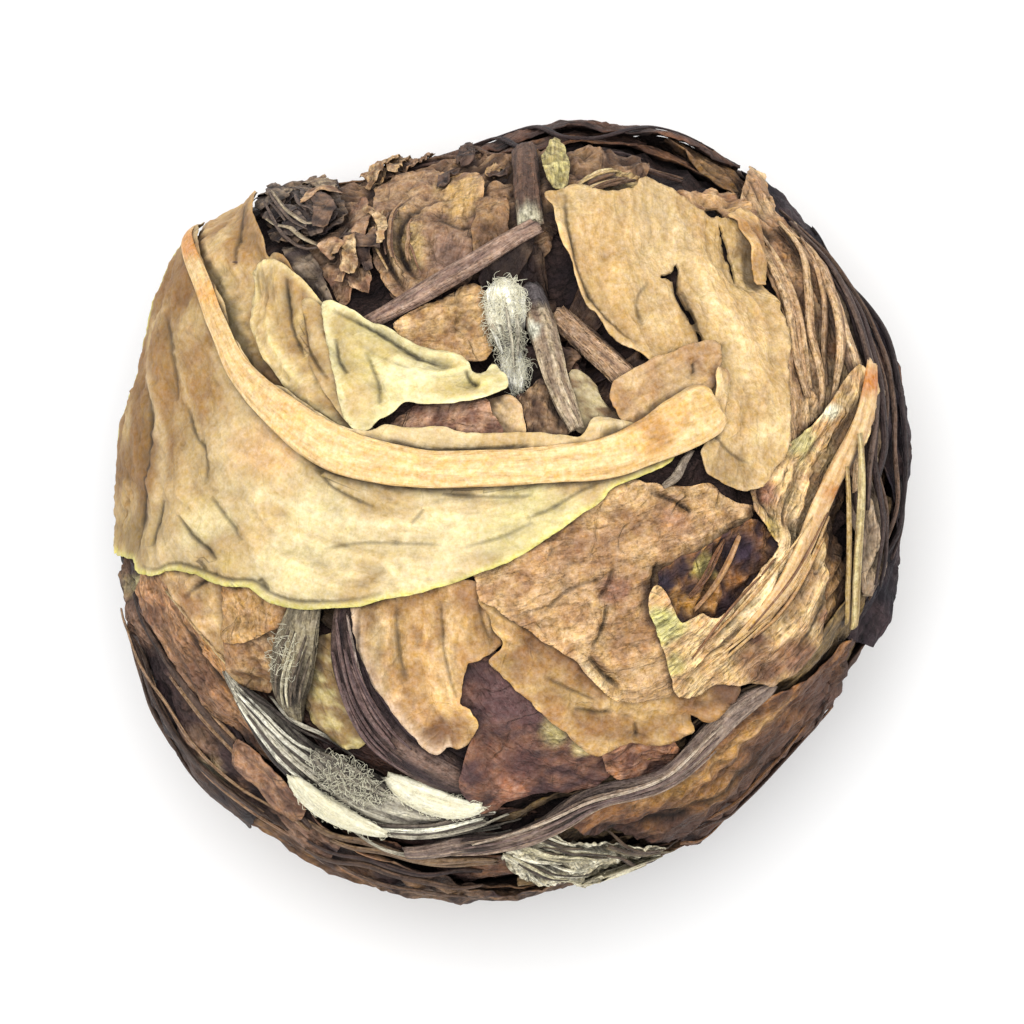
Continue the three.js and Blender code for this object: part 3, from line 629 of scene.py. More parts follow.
# What shows from above, from the innermost piece to the outermost, as in the part's source.
# Each rib is x, y, reach to its left and reach to its right, as the spine runs; an outline trims a leaf closer.
innerPieces = [
    {"name": "northRimLeaf", "crumple": 0.04, "wrinkleSize": 0.7, "wrinkle": 0.14, "look": "darkLeaf", "tones": ((112, 78, 60), (62, 46, 42)),
     "ribs": [(-5.6, 9.9, .6, 1.2), (-1.3, 12.3, 1.2, 1.6), (4.2, 12.6, 1.1, 1.5), (7.6, 11, .4, .6)]},
    {"name": "northRimStrand", "kind": "strands", "count": 6, "half": (.1, .18), "seed": 12, "sink": .5, "wander": .08,
     "tones": (((104, 76, 62), (52, 40, 38)), ((140, 106, 80), (76, 56, 48)), ((78, 60, 56), (42, 34, 38))),
     "ribs": [(-6, 10.4, .3), (-3, 11.5, .5), (0, 12, .6), (2.6, 12.1, .6), (5, 11.8, .5), (7.4, 11, .3)]},
    # a dark sheet laid under the north-west rim so the slits above it show dark: painted shade
    {"name": "northWestFill", "look": "darkLeaf", "tones": ((104, 80, 64), (54, 42, 40)),
     "ribs": [(-9.4, 9), (-6.4, 10.6)],
     "outline": [(-9.9, 8.2), (-9.9, 9.3), (-9.2, 10), (-8.4, 10.6), (-7.3, 11.2), (-6, 11.4), (-5.8, 9), (-8, 7.8)]},
    {"name": "northLitter", "wrinkle": 0.12, "tones": ((158, 124, 92), (98, 74, 58)), "crumple": 0.25, "crumpleSize": 1.2, "patch": .7,
     "ribs": [(-6.8, 8.2), (-3, 9.6), (1.2, 10.6), (4, 11)],
     "outline": [(-7.3, 8.1), (-6.6, 9.6), (-5, 10.6), (-3.4, 11), (-1.6, 11.5), (0, 11.9), (2, 12), (3.6, 11.9),
                 (4.6, 11.3), (3, 10), (1.6, 9.4), (1.2, 8.6), (0, 8.2), (-1.5, 7.6), (-2.8, 7.2), (-4, 7.1),
                 (-4.3, 8), (-4.6, 8.6), (-5.2, 9), (-5.9, 8.2), (-6.5, 7.3), (-7.1, 7.5)]},
    {"name": "wrinkledNorthLeaf", "tones": ((194, 156, 116), (146, 112, 86)), "crumple": 0.12, "patch": .8,
     "ribs": [(-2.3, 10.9, 1.6, 1.6), (-2.6, 9.2, 1.9, 1.7), (-3.3, 7, .8, .9)],
     "outline": [(-4.5, 10.4), (-3.2, 10.9), (-2.4, 11), (-1.1, 10.9), (-.9, 10.2), (-1.1, 9.3), (-1.3, 8.2),
                 (-1.4, 7.7), (-2.8, 7.2), (-3.8, 7), (-4.4, 7.9), (-4.6, 9.1), (-4.5, 9.8)],
     "spots": [(-1.7, 10.2, .8, (212, 172, 112)), (-3.4, 8.6, .8, (204, 172, 116)), (-2, 8.3, .9, (160, 126, 106))],
     # the first three bands: painted shade in the two grooves and a painted highlight on the ridge between them
     "bands": [((96, 72, 58), .1, .8, [(-3.2, 10.3), (-3.95, 9.6), (-4.2, 8.8), (-4, 8), (-3.5, 7.2)]),
               ((220, 184, 136), .1, .8, [(-3, 10.2), (-3.7, 9.5), (-3.95, 8.8), (-3.8, 8.1), (-3.3, 7.4)]),
               ((106, 80, 64), .09, .8, [(-2.8, 10), (-3.4, 9.4), (-3.65, 8.8), (-3.5, 8.1), (-3.05, 7.5)]),
               
               ((96, 74, 62), .3, .6, [(-2.2, 8.8), (-2, 8.2), (-1.8, 7.8)])],
     "creases": [("groove", .14, .09, [(-3.2, 10.3), (-3.95, 9.6), (-4.2, 8.8), (-4, 8), (-3.5, 7.2)]),
                 ("ridge", .16, .09, [(-3, 10.2), (-3.7, 9.5), (-3.95, 8.8), (-3.8, 8.1), (-3.3, 7.4)]),
                 ("groove", .14, .08, [(-2.8, 10), (-3.4, 9.4), (-3.65, 8.8), (-3.5, 8.1), (-3.05, 7.5)]),
                 ("ridge", .08, .1, [(-2.5, 10), (-2.7, 9.2), (-2.9, 8.4), (-2.6, 7.7)]),
                 ("ridge", .12, .1, [(-1.3, 8), (-1.25, 9.1)]),
                 ("groove", .16, .1, [(-1.2, 8), (-1.1, 9.1), (-1, 9.8)]),
                 ("groove", .1, .1, [(-2.4, 9.5), (-1.8, 9.2), (-1.3, 9.3)])]},
    {"name": "northFold", "kind": "strands", "count": 9, "half": (.04, .08), "seed": 19, "cut": .35, "sink": .6,
     "look": "stalk", "wander": .2,
     "tones": (((192, 154, 116), (140, 106, 80)), ((150, 114, 88), (100, 76, 62)), ((210, 176, 128), (166, 130, 90))),
     "ribs": [(-2.9, 10.3, .4), (-3.6, 9.5, .55), (-3.85, 8.8, .6), (-3.7, 8.1, .55), (-3.2, 7.3, .4)]},
    {"name": "northWestLeaf", "tones": ((196, 158, 122), (144, 106, 82)), "patch": .7,
     "ribs": [(-5, 10.4, .8, .9), (-5.2, 8.7, .8, .8), (-5.7, 7, .3, .3)],
     "outline": [(-7.2, 8.3), (-6.4, 8.45), (-5.6, 8.9), (-5.2, 9.6), (-4.7, 10), (-4.5, 9.2), (-4.85, 8.2),
                 (-5.3, 7.3), (-5.7, 6.9), (-6.1, 7.5), (-6.4, 8)],
     "creases": [("ridge", .12, .15, [(-4.8, 9.4), (-5.1, 8.6), (-5.6, 7.5)]),
                 ("groove", .1, .1, [(-5.2, 9.3), (-5.6, 8.5), (-6, 8)])]},
    {"name": "northEdgeFlake", "kind": "flakes", "place": (-2.4, 11.1), "reach": (2.6, .6), "count": 10,
     "length": (.7, 1.6), "half": (.2, .4), "seed": 22,
     "tones": (((168, 130, 98), (96, 72, 58)), ((104, 80, 66), (54, 42, 40)), ((206, 170, 124), (146, 110, 78)))},
    {"name": "greySlip", "tones": ((136, 118, 98), (70, 58, 54)), "crumple": 0.2, "crumpleSize": .8, "patch": .5,
     "ribs": [(-7, 8), (-6.1, 6.9)],
     "outline": [(-7.3, 8.3), (-6.5, 8.3), (-6, 7.4), (-5.9, 6.8), (-6.3, 6.7), (-6.9, 7.4)]},
    {"name": "fuzzyNub", "look": "darkLeaf", "tones": ((150, 124, 98), (62, 50, 46)), "crumple": 0.2,
     "crumpleSize": .8, "patch": .4, "rise": .35, "ragged": 0.15, "wrinkle": 0.08, "wrinkleSize": .3,
     "ribs": [(-7.5, 10.3, .5, .5), (-6.7, 9.3, 1.1, 1), (-5.9, 8.2, .5, .4)],
     "outline": [(-7.9, 9.7), (-7.5, 10.3), (-6.9, 10.7), (-6, 10.6), (-5.5, 10.1), (-5.2, 9.4), (-5.6, 8.7),
                 (-6.4, 8.5), (-7.2, 8.4), (-7.8, 8.8)]},
    {"name": "nubFlake", "kind": "flakes", "place": (-6.6, 9.4), "reach": (1.0, .85), "count": 20,
     "length": (.6, 1.4), "half": (.22, .5), "seed": 15,
     "tones": (((176, 154, 124), (112, 92, 76)), ((142, 120, 98), (84, 70, 60)), ((112, 94, 80), (64, 54, 50)))},
    {"name": "nubFibre", "kind": "strands", "count": 9, "half": (.05, .09), "seed": 35, "cut": .5, "wander": .4,
     "sink": .35,
     "tones": (((196, 178, 146), (126, 106, 88)), ((120, 100, 86), (70, 58, 54))),
     "ribs": [(-7.4, 9.9, .5), (-6.8, 9.3, .8), (-6, 8.9, .8), (-5.5, 9.5, .5)]},
    {"name": "northWestFlake", "kind": "flakes", "place": (-5.2, 8.5), "reach": (1.1, 1.2), "count": 9,
     "length": (.8, 1.7), "half": (.18, .4), "seed": 21, "look": "brownLeaf",
     "tones": (((204, 166, 126), (140, 104, 80)), ((130, 102, 82), (72, 58, 52)), ((222, 190, 144), (160, 124, 90)))},
    {"name": "shortNorthLeaf", "tones": ((176, 138, 98), (122, 92, 68)), "crumple": 0.16, "crumpleSize": 1.2,
     "ribs": [(-.3, 10.6, .5, .5), (-.7, 8.9, .7, .6), (-1, 7.3, .4, .4)],
     "outline": [(-1.05, 9.9), (-.2, 9.95), (-.1, 9.1), (-.4, 8.5), (-1.1, 8), (-1.25, 9.2)]},
    {"name": "eastDarkBand", "ragged": 0.05, "crumple": 0.03, "wrinkleSize": 0.6, "look": "darkLeaf", "tones": ((64, 50, 52), (34, 28, 36)), "wrinkle": 0.16,
     "spots": [(12.3, 4.5, .8, (116, 86, 70)), (12.2, 1.6, .7, (104, 80, 68))],
     "ribs": [(7.9, 10.9, .9, 1), (10.7, 7.7, 1.3, 1), (12.6, 3.4, 1.6, 1), (12.8, -.6, 1.6, .9),
              (11.6, -4.6, .8, .6)]},
    {"name": "eastGreyBand", "ragged": 0.05, "look": "fibrousLeaf", "tones": ((190, 164, 132), (112, 92, 78)), "wrinkle": 0.16,
     "wrinkleSize": 0.5, "crumple": 0.03,
     "ribs": [(8.9, 9.2), (10.5, 7), (11.5, 4.4), (11.9, 1), (11.6, -2.4)],
     "outline": [(9.2, 9.4), (10, 8.4), (10.9, 7), (11.7, 5.6), (12.1, 4.2), (12.2, 2.6), (12.1, 1), (12, -1),
                 (11.9, -2.3), (11.2, -2.6), (11.2, 0), (11.3, 3), (11.1, 4.6), (10.5, 6), (9.8, 7.4), (9.1, 8.6)]},
    {"name": "eastBrownBand", "ragged": 0.05, "look": "fibrousLeaf", "tones": ((226, 190, 142), (176, 138, 102)), "wrinkle": 0.12,
     "wrinkleSize": 0.5, "crumple": 0.05,
     "ribs": [(7.4, 10.9, .5, .5), (9.3, 7.9, .9, .8), (10.3, 5, .9, .8), (10.4, 2.4, .5, .5)],
     "spots": [(8.9, 8.9, 1.1, (176, 134, 96)), (9.5, 7.2, .9, (190, 146, 104)), (10.8, 5.4, .5, (190, 136, 88))],
     "outline": [(7.6, 11), (8.4, 10.2), (9, 9.2), (9.8, 8), (10.3, 7), (10.7, 6), (10.9, 5), (11.1, 4.2),
                 (10.9, 3.6), (10.3, 3.1), (9.6, 2.4), (9.2, 2.3), (9.2, 4.5), (9.2, 6), (9, 7), (8.6, 8),
                 (8.1, 9.2), (7.7, 10)]},
    {"name": "eastOuterStrand", "kind": "strands", "count": 6, "half": (.12, .22), "seed": 8,
     "tones": (((84, 66, 60), (46, 36, 38)), ((64, 52, 50), (38, 30, 34)), ((122, 96, 78), (66, 52, 48))),
     "ribs": [(8.4, 10.2, .3), (10.4, 8.2, .5), (11.7, 6, .6), (12.4, 3.4, .6), (12.5, .6, .6), (12.1, -2, .5),
              (11.4, -4.2, .3)]},
    {"name": "eastInnerStrand", "kind": "strands", "count": 5, "half": (.14, .24), "seed": 9, "sink": .55,
     "tones": (((240, 206, 160), (190, 154, 118)), ((198, 164, 128), (136, 106, 84)), ((226, 194, 148), (172, 136, 100)),
               ((120, 98, 84), (66, 52, 50))),
     "ribs": [(8.7, 9.7, .3), (10.1, 7.7, .45), (11, 5.6, .5), (11.5, 3.4, .45), (11.5, .6, .4), (11.3, -2, .3)]},
    {"name": "eastBrownStrand", "kind": "strands", "count": 7, "half": (.11, .22), "seed": 10, "sink": .74,
     "tones": (((226, 190, 144), (184, 146, 108)), ((206, 168, 126), (156, 120, 90))),
     "ribs": [(7.9, 10.3, .3), (9.1, 8.6, .6), (9.7, 7, .65), (10.1, 5.4, .65), (10.3, 3.8, .5), (10.2, 2.8, .3)]},
    {"name": "southRimBand", "ragged": 0.06, "crumple": 0.04, "wrinkleSize": 0.6, "look": "darkLeaf", "tones": ((132, 102, 76), (62, 46, 42)), "wrinkle": 0.16,
     "spots": [(2.8, -10.2, 1, (196, 154, 110)), (.6, -10.4, .9, (176, 142, 106)), (-5, -11.2, .8, (150, 112, 82))],
     "ribs": [(-7.6, -10, .6, .8), (-3.4, -12.1, .9, 1.6), (1.6, -12.5, .9, 1.6), (6.4, -10.6, .6, 1)]},
    # a dark sheet laid under the west rim so the slits above it show dark: painted shade
    {"name": "westFill", "look": "darkLeaf", "tones": ((84, 64, 54), (46, 36, 36)), "rise": .08, "bridge": .8,
     "ribs": [(-13.9, .2, 1.6, 1.6), (-13.4, -3.2, 2, 2), (-11.4, -6.8, 2, 2), (-8.2, -10.2, 1.6, 1.6)]},
    {"name": "westOuterBand", "ragged": 0.06, "crumple": 0.04, "wrinkleSize": 0.6, "look": "darkLeaf", "tones": ((128, 98, 78), (62, 46, 44)), "wrinkle": 0.18,
     "spots": [(-9.9, -8.8, .8, (172, 158, 116)), (-12.3, -2.4, .5, (190, 176, 128))],
     "ribs": [(-12.7, -1.2, .6, 1.1), (-11.5, -4.8, .9, 1.3), (-9.2, -8.2, .9, 1.4), (-5.4, -11, .6, .9)]},
    # its dark rim is painted shade where the leaf turns down the side; its pale bands on the ridges are painted
    # highlights
    {"name": "southGoldLeaf", "crumple": 0.12, "tones": ((160, 112, 70), (98, 66, 48)), "wrinkle": 0.08, "patch": .7, "rim": ((80, 56, 46), .4, "right"),
     "ribs": [(1.7, -10.6, .6, .9), (5.2, -9.3, 1, 1.7), (8.3, -7.3, 1.1, 1.8), (10.8, -4.6, .5, .7)],
     "spots": [(8.7, -7.9, 1.1, (116, 82, 62)), (10.2, -6, 1, (104, 74, 60)), (5.6, -10.2, .9, (90, 64, 52)), (7.4, -9.2, .8, (98, 68, 52))],
     "outline": [(1.8, -10.2), (2.6, -9.7), (3.6, -9.3), (4.8, -8.8), (6, -8), (7, -7.2), (7.9, -6.3), (8.6, -5.7),
                 (9.6, -5.3), (10.4, -4.6), (10.9, -4.2), (11.6, -4.5), (11.2, -5.6), (10.3, -6.8), (9.5, -7.8),
                 (8.5, -9), (7.3, -10), (6, -10.7), (4.8, -10.8), (3.4, -10.6), (2.4, -10.5)],
     "bands": [((204, 156, 94), .22, .8, [(3.6, -9.7), (5.2, -9.2), (6.8, -8.3), (8.2, -6.9), (9.2, -5.8)]),
               ((92, 64, 50), .5, .7, [(4.4, -10.5), (6.6, -9.9), (8.6, -8.4), (10.2, -6.2)]),
               ((186, 136, 80), .2, .7, [(5, -9.9), (6.6, -9.2), (7.8, -8.3)])],
     "creases": [("ridge", .12, .1, [(3.6, -9.9), (5.2, -9.4), (6.8, -8.5), (8.2, -7.1)]),
                 ("groove", .12, .09, [(4.2, -10.2), (6, -9.6), (7.6, -8.6), (9, -7.2)]),("groove", .16, .1, [(2.9, -10.5), (3.8, -10.4), (5, -10.1), (6.2, -9.7)]),
                 ("ridge", .12, .12, [(5.4, -9.4), (6.6, -9.2), (7.6, -8.6)])]},
    {"name": "southDownUnder", "look": "silverBud", "tones": ((250, 242, 214), (192, 180, 148)), "step": .1,
     "wrinkle": .1, "wrinkleSize": .22, "patch": .35, "rise": .2,
     "ribs": [(.3, -10.6), (1.6, -11.3), (3.2, -11.9)],
     "outline": [(-.2, -10.9), (.8, -10.4), (1.9, -10.6), (3.2, -10.9), (4.8, -10.7), (4.8, -11.3), (3.3, -12),
                 (1.4, -12.1), (0, -11.9), (-.3, -11.4)]},
    {"name": "southDown", "kind": "strands", "count": 22, "half": (.05, .1), "cut": .45, "wander": .16, "seed": 4,
     "look": "silverBud", "sink": .55,
     "tones": (((252, 246, 222), (214, 204, 172)), ((232, 222, 186), (170, 158, 124)), ((112, 98, 80), (66, 56, 50))),
     "ribs": [(-.4, -10.6, .5), (.9, -11.1, .75), (2.2, -11.4, .75), (3.8, -11.5, .4)]},
    {"name": "southSlip", "kind": "strands", "count": 4, "half": (.06, .1), "sink": .4, "seed": 5,
     "tones": (((150, 134, 104), (88, 74, 58)), ((110, 90, 70), (66, 52, 46))),
     "ribs": [(2.9, -10.8, .2), (4.2, -11.1, .35), (5.8, -10.9, .2)]},
    {"name": "southRimStrand", "kind": "strands", "count": 5, "half": (.12, .2), "seed": 6,
     "tones": (((120, 94, 74), (60, 46, 42)), ((90, 70, 60), (46, 36, 38)), ((160, 130, 98), (92, 72, 58))),
     "ribs": [(-7.6, -9.9, .3), (-4.8, -11.3, .5), (-2, -12, .5), (.5, -12.1, .3)]},
    {"name": "southEdgeStrand", "kind": "strands", "count": 3, "half": (.1, .16), "seed": 7,
     "tones": (((104, 74, 56), (56, 40, 36)), ((150, 106, 68), (92, 64, 48))),
     "ribs": [(5, -10.9, .15), (7.4, -9.6, .3), (9.4, -7.6, .3), (10.8, -5.3, .2)]},
    {"name": "westBrownBand", "ragged": 0.04, "crumple": 0.06, "look": "fibrousLeaf",
     "tones": ((196, 148, 106), (134, 98, 74)), "wrinkle": 0.1,
     "wrinkleSize": .5, "ribs": [(-11.7, -1.6, .4, .5), (-10.1, -4.6, .7, .8), (-8.3, -7.1, .8, .8), (-6.6, -9.1, .3, .4)],
     "outline": [(-12, -1.6), (-11.2, -1.8), (-10.5, -2.6), (-9.7, -3.5), (-9, -4.4), (-8.8, -5.6), (-8.4, -6.6),
                 (-7.6, -7.7), (-7.4, -8.4), (-8.2, -8.2), (-9.2, -7.3), (-10.1, -6.3), (-10.9, -5.1),
                 (-11.6, -3.9), (-12.2, -2.6)],
     "bands": [((220, 162, 100), .3, .8, [(-10.9, -3), (-10, -4.2), (-9.2, -5.6), (-8.4, -6.9)]),
               ((88, 64, 52), .2, .7, [(-11.9, -2.6), (-11, -4.5), (-9.9, -6.2), (-8.6, -7.8)])],
     "creases": [("groove", .14, .1, [(-11.2, -3.1), (-10.5, -4.3), (-9.6, -5.7), (-8.9, -6.7)]),
                 ("groove", .1, .09, [(-10.8, -2.7), (-9.9, -4), (-9.2, -5)])]},
    {"name": "westStrand", "kind": "strands", "count": 12, "half": (.1, .18), "sink": .6, "seed": 11, "cut": .35,
     "tones": (((180, 142, 108), (112, 84, 66)), ((142, 108, 82), (76, 58, 50)), ((100, 78, 64), (52, 42, 40)),
               ((182, 146, 110), (110, 84, 66))),
     "ribs": [(-12.9, -2.4, .35), (-12.2, -4.4, .6), (-11, -6.4, .8), (-9.6, -8.2, .9), (-8, -9.6, .8), (-5.8, -11.2, .5)]},
    {"name": "westPaleLine", "kind": "strands", "count": 3, "half": (.06, .1), "seed": 29, "wander": .4,
     "tones": (((232, 208, 158), (176, 144, 104)), ((206, 170, 118), (140, 106, 76))),
     "ribs": [(-11.6, -2, .12), (-10.5, -3.3, .2), (-9.6, -4.4, .2), (-8.8, -5.3, .12)]},
    {"name": "westPinkPatch", "tones": ((170, 128, 96), (112, 82, 66)), "crumple": 0.12, "patch": .5,
     "ribs": [(-8.9, -7.6), (-7.9, -8.7), (-6.9, -9.7)],
     "outline": [(-9, -7.4), (-8.3, -7.9), (-7.4, -8.8), (-6.7, -9.6), (-7, -9.9), (-7.7, -9.4), (-8.4, -8.8),
                 (-9, -8.1)]},
    {"name": "westGoldPatch", "look": "tanLeaf", "tones": ((218, 182, 130), (174, 136, 94)), "crumple": .12,
     "step": .1, "ribs": [(-10.9, -1.5, .5, .5), (-9.9, -3.1, .8, .7), (-9, -4.8, .4, .4)],
     "outline": [(-11.4, -1.7), (-10.6, -1.5), (-9.9, -1.5), (-9.15, -1.8), (-9.05, -3), (-9.05, -3.8),
                 (-8.85, -4.4), (-8.75, -4.9), (-9.25, -4.6), (-9.9, -3.8), (-10.5, -3), (-11.1, -2.3)],
     # the first band is painted shade in the groove, the second a painted highlight on the ridge
     "bands": [((132, 96, 66), .16, .8, [(-10.2, -2.6), (-9.9, -2.2), (-9.5, -2.2), (-9.3, -3), (-9.2, -3.9)]),
               ((236, 202, 150), .15, .7, [(-10.7, -2), (-10, -1.9), (-9.5, -1.9)]),
               ((150, 110, 76), .2, .6, [(-10.8, -1.9), (-10.4, -2.7), (-9.8, -3.5)])],
     "creases": [("groove", .12, .09, [(-10.4, -2.8), (-10, -2.3), (-9.6, -2.2), (-9.35, -2.6), (-9.25, -3.5)]),
                 ("ridge", .12, .1, [(-10.5, -2.7), (-10.1, -2.1), (-9.6, -2)]),
                 ("ridge", .1, .1, [(-10.8, -2.5), (-10.1, -3.4), (-9.5, -4.2)])]},
    {"name": "lowTanPatch", "spots": [(-8.9, -4.4, .7, (156, 118, 84))], "tones": ((214, 174, 124), (150, 112, 78)), "crumple": 0.16, "crumpleSize": 1.3, "patch": .6,
     "ribs": [(-8.6, -3.6), (-8.1, -5.8)],
     "outline": [(-9.1, -3.8), (-8.6, -3.9), (-7.6, -3.6), (-6.8, -3.3), (-6.8, -4.3), (-7.8, -4.9), (-7.9, -5.5),
                 (-8, -6), (-8.6, -5.7), (-9, -5.2)]},
    {"name": "middleGoldPatch", "tones": ((200, 158, 106), (158, 116, 76)), "crumple": .18,
     "ribs": [(-8.9, -1.6, .9, .7), (-8.1, -3.5, 1.2, .8), (-7.5, -5.7, .6, .5)],
     "outline": [(-9.2, -1.6), (-8, -1.8), (-6.6, -2.4), (-6.6, -3.3), (-7.6, -3.8), (-8.6, -4.1), (-9.15, -3.8)],
     "creases": [("ridge", .16, .13, [(-8.9, -3.9), (-8, -3.75), (-7.3, -3.5), (-6.8, -3.2)])]},
    {"name": "greenChip", "look": "tanLeaf", "tones": ((206, 186, 128), (146, 118, 80)), "ragged": .1, "patch": .6,
     "ribs": [(-6.2, -4.6, .4, .4), (-5.7, -6.2, .7, .6), (-5.1, -7.6, .4, .3)],
     "outline": [(-6.3, -2.8), (-5.6, -2.9), (-5.3, -5), (-5, -6.2), (-4.6, -7.2), (-4.9, -7.8), (-5.7, -7.7),
                 (-6.4, -7.1), (-6.9, -6.3), (-6.9, -5.4), (-6.4, -4)]},
    {"name": "greyBud", "kind": "bud", "look": "fibrousStalk", "tones": ((170, 156, 126), (92, 82, 68)),
     "ridges": 9, "ridgeDepth": .12, "flat": .6, "sink": .3, "around": 24,
     "ribs": [(-6.4, -2.7, .45, .45), (-6.9, -4.6, .75, .7), (-7.2, -5.9, .6, .5), (-7.1, -7, .2, .2)]},
    {"name": "greyBudFibre", "kind": "strands", "count": 7, "half": (.05, .09), "seed": 30, "cut": .3, "look": "silverBud",
     "tones": (((214, 204, 172), (152, 140, 114)), ((120, 106, 88), (76, 66, 58))), "sink": .45,
     "ribs": [(-6.2, -2.9, .35), (-6.7, -4.4, .5), (-7, -5.6, .45), (-6.9, -6.4, .25)]},
    {"name": "darkStalk", "kind": "stalk", "look": "fibrousStalk", "tones": ((130, 104, 90), (58, 44, 46)),
     "ridges": 5, "ridgeDepth": .14, "flat": .6,
     "ribs": [(-5.45, -2.6, .4, .4), (-4.95, -5.2, .6, .6), (-3.9, -7.1, .7, .75), (-2.4, -8.4, .7, .7),
              (-1, -9, .5, .5)]},
    {"name": "darkStalkFibre", "kind": "strands", "count": 10, "half": (.06, .12), "seed": 31, "cut": .3,
     "tones": (((190, 170, 154), (116, 96, 92)), ((80, 62, 62), (46, 36, 40)), ((132, 106, 98), (74, 58, 60))),
     "ribs": [(-5.45, -2.8, .35), (-4.95, -5.2, .5), (-3.9, -7.1, .6), (-2.4, -8.3, .5)]},
    {"name": "purpleLeaf", "tones": ((134, 94, 74), (86, 62, 60)), "crumple": 0.1, "patch": .8,
     "spots": [(-.2, -6.1, 1.1, (104, 76, 74)), (.8, -6.7, .6, (104, 76, 74)), (1.4, -7.2, .5, (206, 188, 130)),
               (2.3, -7.75, .35, (206, 184, 128)), (.4, -8.4, .7, (108, 74, 68)), (0, -9.2, .7, (170, 118, 92))],
     "ribs": [(-1.5, -4.9, .5, .5), (0, -7, 1.1, 1.9), (2.2, -8.2, 1.1, 1.1), (5.2, -8.3, .3, .3)],
     "outline": [(-1.5, -4.4), (-.6, -4.6), (.2, -5.2), (.9, -5.9), (1.6, -6.5), (2.4, -7.2), (3, -7.7),
                 (3.4, -8.3), (2.9, -8.9), (2, -9.2), (1.1, -9.25), (.5, -9.4), (-.2, -9.6), (-.7, -9.85),
                 (-1, -9.75), (-1.3, -9.25), (-1.65, -8.6), (-1.5, -7.9), (-1.2, -7), (-1.6, -6.3), (-1.8, -5.8),
                 (-1.7, -5)]},
    {"name": "redSlip", "tones": ((180, 128, 94), (116, 80, 66)), "crumple": 0.16, "crumpleSize": 1.0, "patch": .5,
     "ribs": [(3, -8.2), (5.3, -7.9)],
     "outline": [(2.9, -7.9), (3.6, -7.6), (4.6, -7.4), (5.3, -7.5), (5.5, -8), (4.9, -8.5), (4, -8.6), (3.1, -8.5)]},
    {"name": "goldLeaf", "look": "tanLeaf", "tones": ((224, 184, 126), (184, 142, 94)), "ragged": 0.06, "patch": .9,
     "rim": ((226, 194, 160), .22, "right"), "step": .1, "crumple": 0.09,
     "ribs": [(-2.8, -2.6, 2.1, 2.2), (-2.7, -4.8, 1.9, 2.1), (-2.1, -6.8, 1, 1.4), (-1.7, -8.2, .3, .4)],
     "outline": [(-4.95, -2.6), (-4.9, -3.4), (-4.75, -4.1), (-4.45, -4.9), (-4.1, -5.5), (-3.7, -6.1),
                 (-3.3, -6.6), (-2.9, -7.1), (-2.4, -7.6), (-2, -7.45), (-1.5, -7.5), (-1.2, -7.2), (-1.05, -6.8),
                 (-1.3, -6.3), (-1.6, -6.1), (-1.55, -5.7), (-1.5, -5.2), (-1.4, -4.85), (-1, -4.75), (-.5, -4.55),
                 (-.1, -4.2), (.1, -3.7), (-.3, -2.8), (-1, -2.4), (-1.7, -2.3), (-2.4, -2.2), (-3.5, -2)],
     # the last spot is painted shadow from the upper brown leaf
     "spots": [(-2.3, -7.1, .7, (134, 96, 66)), (-3, -6.2, .6, (196, 152, 102)), (-1.3, -2.8, .9, (170, 130, 90))],
     # the second band, pale along the ridge near the west margin, is a painted highlight
     "bands": [((140, 102, 70), .5, .6, [(-2.9, -6.9), (-2.1, -7.2), (-1.2, -6.9)]),
               ((238, 208, 156), .2, .7, [(-4.3, -3), (-4.2, -4.6), (-3.8, -5.4)]),
               ((178, 136, 90), .35, .6, [(-3.4, -3), (-3.2, -4.6), (-2.6, -6)]),
               ((236, 200, 146), .22, .6, [(-2.2, -3), (-2.1, -4.4), (-1.9, -5.6)]),
               ((170, 128, 86), .3, .6, [(-1.2, -3.2), (-1.3, -4.4), (-1.7, -5.4)])],
     "creases": [("groove", .07, .08, [(-2.4, -3), (-2.3, -4.2), (-2, -5.2), (-1.7, -5.9)]),
         ("ridge", .09, .09, [(-4.1, -3), (-3.9, -4.6), (-3.3, -5.9), (-2.6, -6.9)]),
         ("groove", .07, .08, [(-1.1, -3.1), (-1, -3.8), (-.7, -4.3)]),
         ("ridge", .16, .12, [(-5, -3), (-4.95, -4.4), (-4.65, -5.2), (-4.1, -6.1), (-3.5, -7), (-2.8, -7.8)]),
         ("groove", .14, .1, [(-4.75, -3), (-4.7, -4.3), (-4.35, -5.2), (-3.8, -6.2), (-3.3, -6.9), (-2.6, -7.6)]),
         ("groove", .08, .12, [(-3.9, -3.1), (-3.7, -4.3), (-3.3, -5.4)]),
         ("ridge", .08, .12, [(-2.9, -3.3), (-2.8, -4.6), (-2.4, -5.8)]),
         ("ridge", .1, .1, [(-.1, -3.9), (-.4, -4.3), (-.7, -4.6)])]},
    {"name": "silverBud", "kind": "bud", "look": "silverBud", "tones": ((204, 196, 174), (92, 84, 76)),
     "ridges": 11, "ridgeDepth": .07, "around": 30, "flat": .5, "sink": .45, "rough": .1,
     "ribs": [(-9.3, -5.2, .15, .15), (-8.6, -6.2, .45, .45), (-7.7, -7.2, .65, .6), (-6.5, -8.5, .85, .8),
              (-5.3, -9.3, 1, 1), (-3.6, -10, .95, .85), (-2, -10.2, .75, .55), (-.8, -10.2, .35, .35)]},
    {"name": "silverFibre", "kind": "strands", "count": 16, "half": (.06, .11), "seed": 13, "cut": .25,
     "look": "silverBud", "wander": .14, "sink": .5,
     "tones": (((246, 242, 222), (198, 190, 168)), ((222, 214, 192), (160, 152, 134)), ((110, 100, 90), (62, 56, 54))),
     "ribs": [(-9, -5.5, .12), (-8.3, -6.4, .32), (-7.4, -7.4, .5), (-6.5, -8.3, .62), (-5.6, -9, .65)]},
